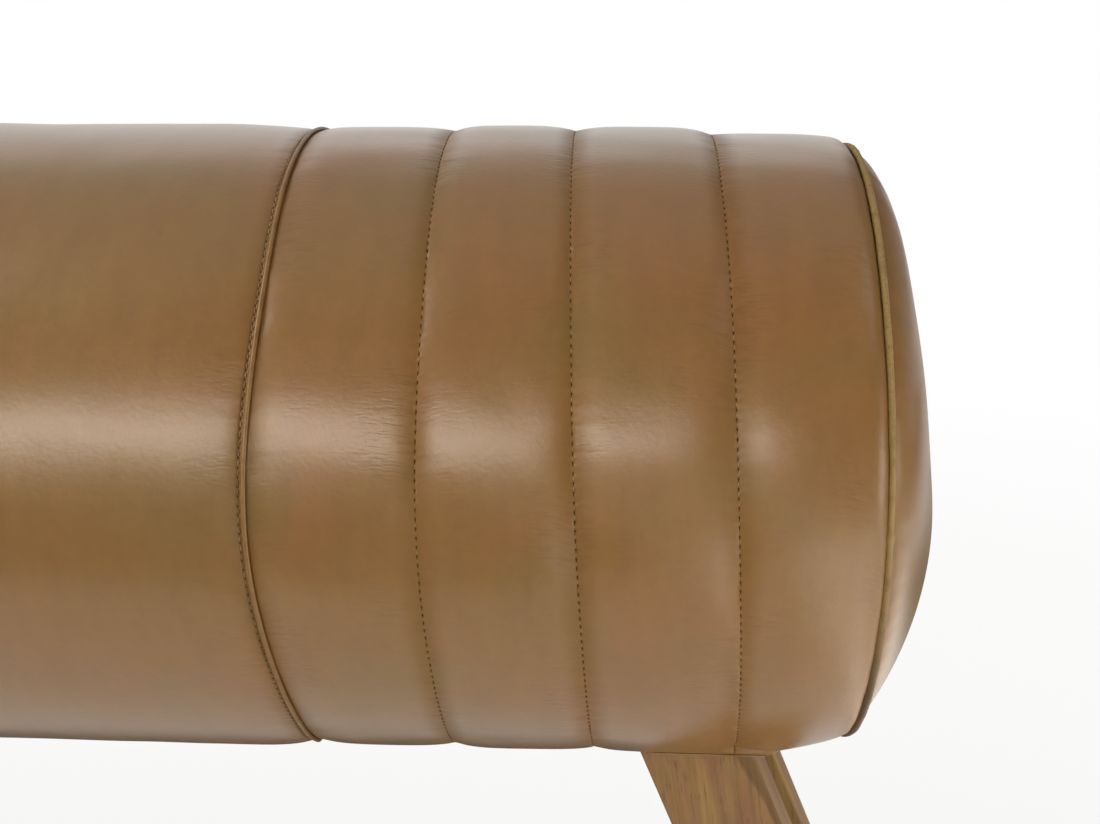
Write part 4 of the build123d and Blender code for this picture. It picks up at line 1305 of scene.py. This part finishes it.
def studio_white(name, near_share, shine_share):
    """White paint whose light on the object comes from the paint alone.

    The camera sees it as plain white by near_share under the object, where the shadow shows, and fully far
    off. Reflections see it as white by shine_share.
    """
    material, node = empty_material(name)
    paint = node("BsdfDiffuse", {"Color": colour("#EDEDEC")})
    path = node("LightPath")
    where = node("TexCoord").outputs["Object"]
    off = node("Mapping", {"Vector": where, "Scale": (0.8, 1, 1)})
    off = node("VectorMath", {0: off}, operation="LENGTH").outputs["Value"]
    share = node("MapRange", {0: off, 1: 0.5, 2: 1.9, 3: near_share, 4: 1.0}, **SMOOTH)
    share = node("Math", {0: path.outputs["Is Camera Ray"], 1: share}, operation="MULTIPLY")
    shine = node("Math", {0: path.outputs["Is Glossy Ray"], 1: shine_share}, operation="MULTIPLY")
    seen = node("Math", {0: share, 1: shine}, operation="MAXIMUM")
    seen = node("Math", {0: seen, 1: path.outputs["Is Transmission Ray"]}, operation="MAXIMUM")
    white = node("Emission", {"Color": (1, 1, 1), "Strength": 1.0})
    node("OutputMaterial", {"Surface": node("MixShader", {0: seen, 1: paint, 2: white})})
    return material


def stage_sheet(name, corners, material, faces=None):
    """A flat or bent sheet of the studio: one face over all its corners, or the faces that are given."""
    mesh = bpy.data.meshes.new(name)
    mesh.from_pydata(corners, [], faces or [tuple(range(len(corners)))])
    mesh.materials.append(material)
    sheet = bpy.data.objects.new(name, mesh)
    bpy.context.scene.collection.objects.link(sheet)
    return sheet


class BENCH_OT_studio(bpy.types.Operator):
    """Sets up the pale floor, the white surroundings, the soft lights and the camera"""

    bl_idname = "bench.studio"
    bl_label = "Studio"

    def execute(self, context):
        scene = context.scene
        scene.view_settings.view_transform = "Standard"
        white = studio_white("white studio floor", 0.88, 0.5)
        floor = stage_sheet("floor", [(-9, -9, 0), (9, -9, 0), (9, 9, 0), (-9, 9, 0)], white)
        cloth, _, shader, _ = new_finish("black flag cloth")
        plug(shader, Base_Color=(0.02, 0.02, 0.02))
        # Flags just over the floor, unseen by the camera, keep its white out of the leather's shine.
        outlines = {
            "front flag": [(-3.0, -3.2), (0.42, -3.2), (0.42, -0.52), (-3.0, -0.47)],
            "rear flag": [(-3.0, 0.04), (0.42, 0.04), (0.42, 1.2), (-3.0, 1.2)],
            "side flag": [(1.5, -0.3), (3.4, -0.3), (3.4, 2.4), (2.0, 2.4), (1.5, 0.9)],
            "near flag": [(0.6, 0.35), (1.0, 0.35), (1.0, 1.1), (0.6, 1.1)],
        }
        lift = 0.02
        flags = [stage_sheet(name, [(*p, lift) for p in line], cloth) for name, line in outlines.items()]
        for flag in flags:
            flag.visible_camera = flag.visible_diffuse = flag.visible_shadow = False
        wall = self.curved_wall(studio_white("white backdrop paper", 1.0, 1.0))
        world = bpy.data.worlds.new("studio")
        world.use_nodes = True
        node = partial(add, world.node_tree)
        path = node("LightPath").outputs
        # The camera sees white all round, reflections see a grey room, and the light on the object is dim.
        shine = node("Math", {0: path["Is Glossy Ray"], 1: 0.25}, operation="MULTIPLY")
        seen = node("Math", {0: path["Is Camera Ray"], 1: path["Is Transmission Ray"]}, operation="MAXIMUM")
        seen = node("Math", {0: seen, 1: shine}, operation="MAXIMUM")
        level = node("Math", {0: seen, 1: 0.22}, operation="MAXIMUM")
        plug(world.node_tree.nodes["Background"], Color=(1, 1, 1), Strength=level)
        scene.world = world
        middle, warm, warmer = (0.35, 0.0, AXIS_Z), "#FFF8E8", "#FFF4E0"
        soft_light("overhead softbox", (-0.2, 0.5, 3.0), middle, 4.4, 3.6, 14)
        soft_light("front softbox", (-0.4, -2.4, 0.99), middle, 2.0, 0.42, 24, warm)
        soft_light("left key softbox", (-2.6, -0.7, 2.4), middle, 1.6, 1.6, 60, warm)
        soft_light("right key softbox", (2.6, -0.6, 2.8), middle, 1.6, 1.6, 9, warm)
        soft_light("low left softbox", (-2.0, -1.0, 0.25), middle, 1.0, 0.4, 7, warmer)
        soft_light("low right softbox", (2.5, -0.75, 0.3), middle, 1.0, 0.5, 12, warmer)
        card = Vector((1.15, -0.35, 0.03))
        soft_light("bounce card on the floor", card, card + Vector((0, 0, 0.97)), 1.1, 1.1, 5.5, warmer)
        data = bpy.data.cameras.new("camera")
        data.lens, data.sensor_width = CAMERA_LENS, CAMERA_SENSOR
        camera = bpy.data.objects.new("camera", data)
        camera.matrix_world = Matrix.Translation(CAMERA_PLACE) @ camera_turn().to_4x4()
        scene.collection.objects.link(camera)
        scene.camera = camera
        return {"FINISHED"}

    def curved_wall(self, material):
        """Backdrop paper: an upright arc round the back and the right side of the bench."""
        turn = np.linspace(math.radians(60), math.radians(200), 40)
        reach, tall = 4.0, 4.6
        x, y, z = np.broadcast_arrays(reach * np.cos(turn), reach * np.sin(turn), [[0.0], [tall]])
        quads, _ = grid_faces(2, len(turn))
        points = np.stack([x, y, z], axis=-1).reshape(-1, 3)
        return stage_sheet("backdrop", points.tolist(), material, quads.tolist())


OPERATORS = (
    BENCH_OT_middle_panel,
    BENCH_OT_channels,
    BENCH_OT_end_caps,
    BENCH_OT_cords,
    BENCH_OT_stitching,
    BENCH_OT_padding,
    BENCH_OT_dust_cover,
    BENCH_OT_legs,
    BENCH_OT_frame_wood,
    BENCH_OT_fixings,
    BENCH_OT_studio,
)


class BENCH_PT_panel(bpy.types.Panel):
    """Lists the bench's pieces, sizes and colours"""

    bl_idname = "BENCH_PT_panel"
    bl_label = "Round leather bench"
    bl_space_type = "VIEW_3D"
    bl_region_type = "UI"
    bl_category = "Bench"

    def draw(self, context):
        for operator in OPERATORS:
            self.layout.operator(operator.bl_idname)
        for group in (context.scene.bench_sizes, context.scene.bench_colours):
            box = self.layout.box()
            for name in group.bl_rna.properties.keys():
                if name not in ("rna_type", "name"):
                    box.prop(group, name)


CLASSES = (BenchSizes, BenchColours, *OPERATORS, BENCH_PT_panel)


def register():
    for cls in CLASSES:
        bpy.utils.register_class(cls)
    bpy.types.Scene.bench_sizes = bpy.props.PointerProperty(type=BenchSizes)
    bpy.types.Scene.bench_colours = bpy.props.PointerProperty(type=BenchColours)


def unregister():
    del bpy.types.Scene.bench_colours
    del bpy.types.Scene.bench_sizes
    for cls in reversed(CLASSES):
        bpy.utils.unregister_class(cls)


def main():
    register()
    for operator in OPERATORS:
        group, name = operator.bl_idname.split(".")
        getattr(getattr(bpy.ops, group), name)()


if __name__ == "__main__":
    main()
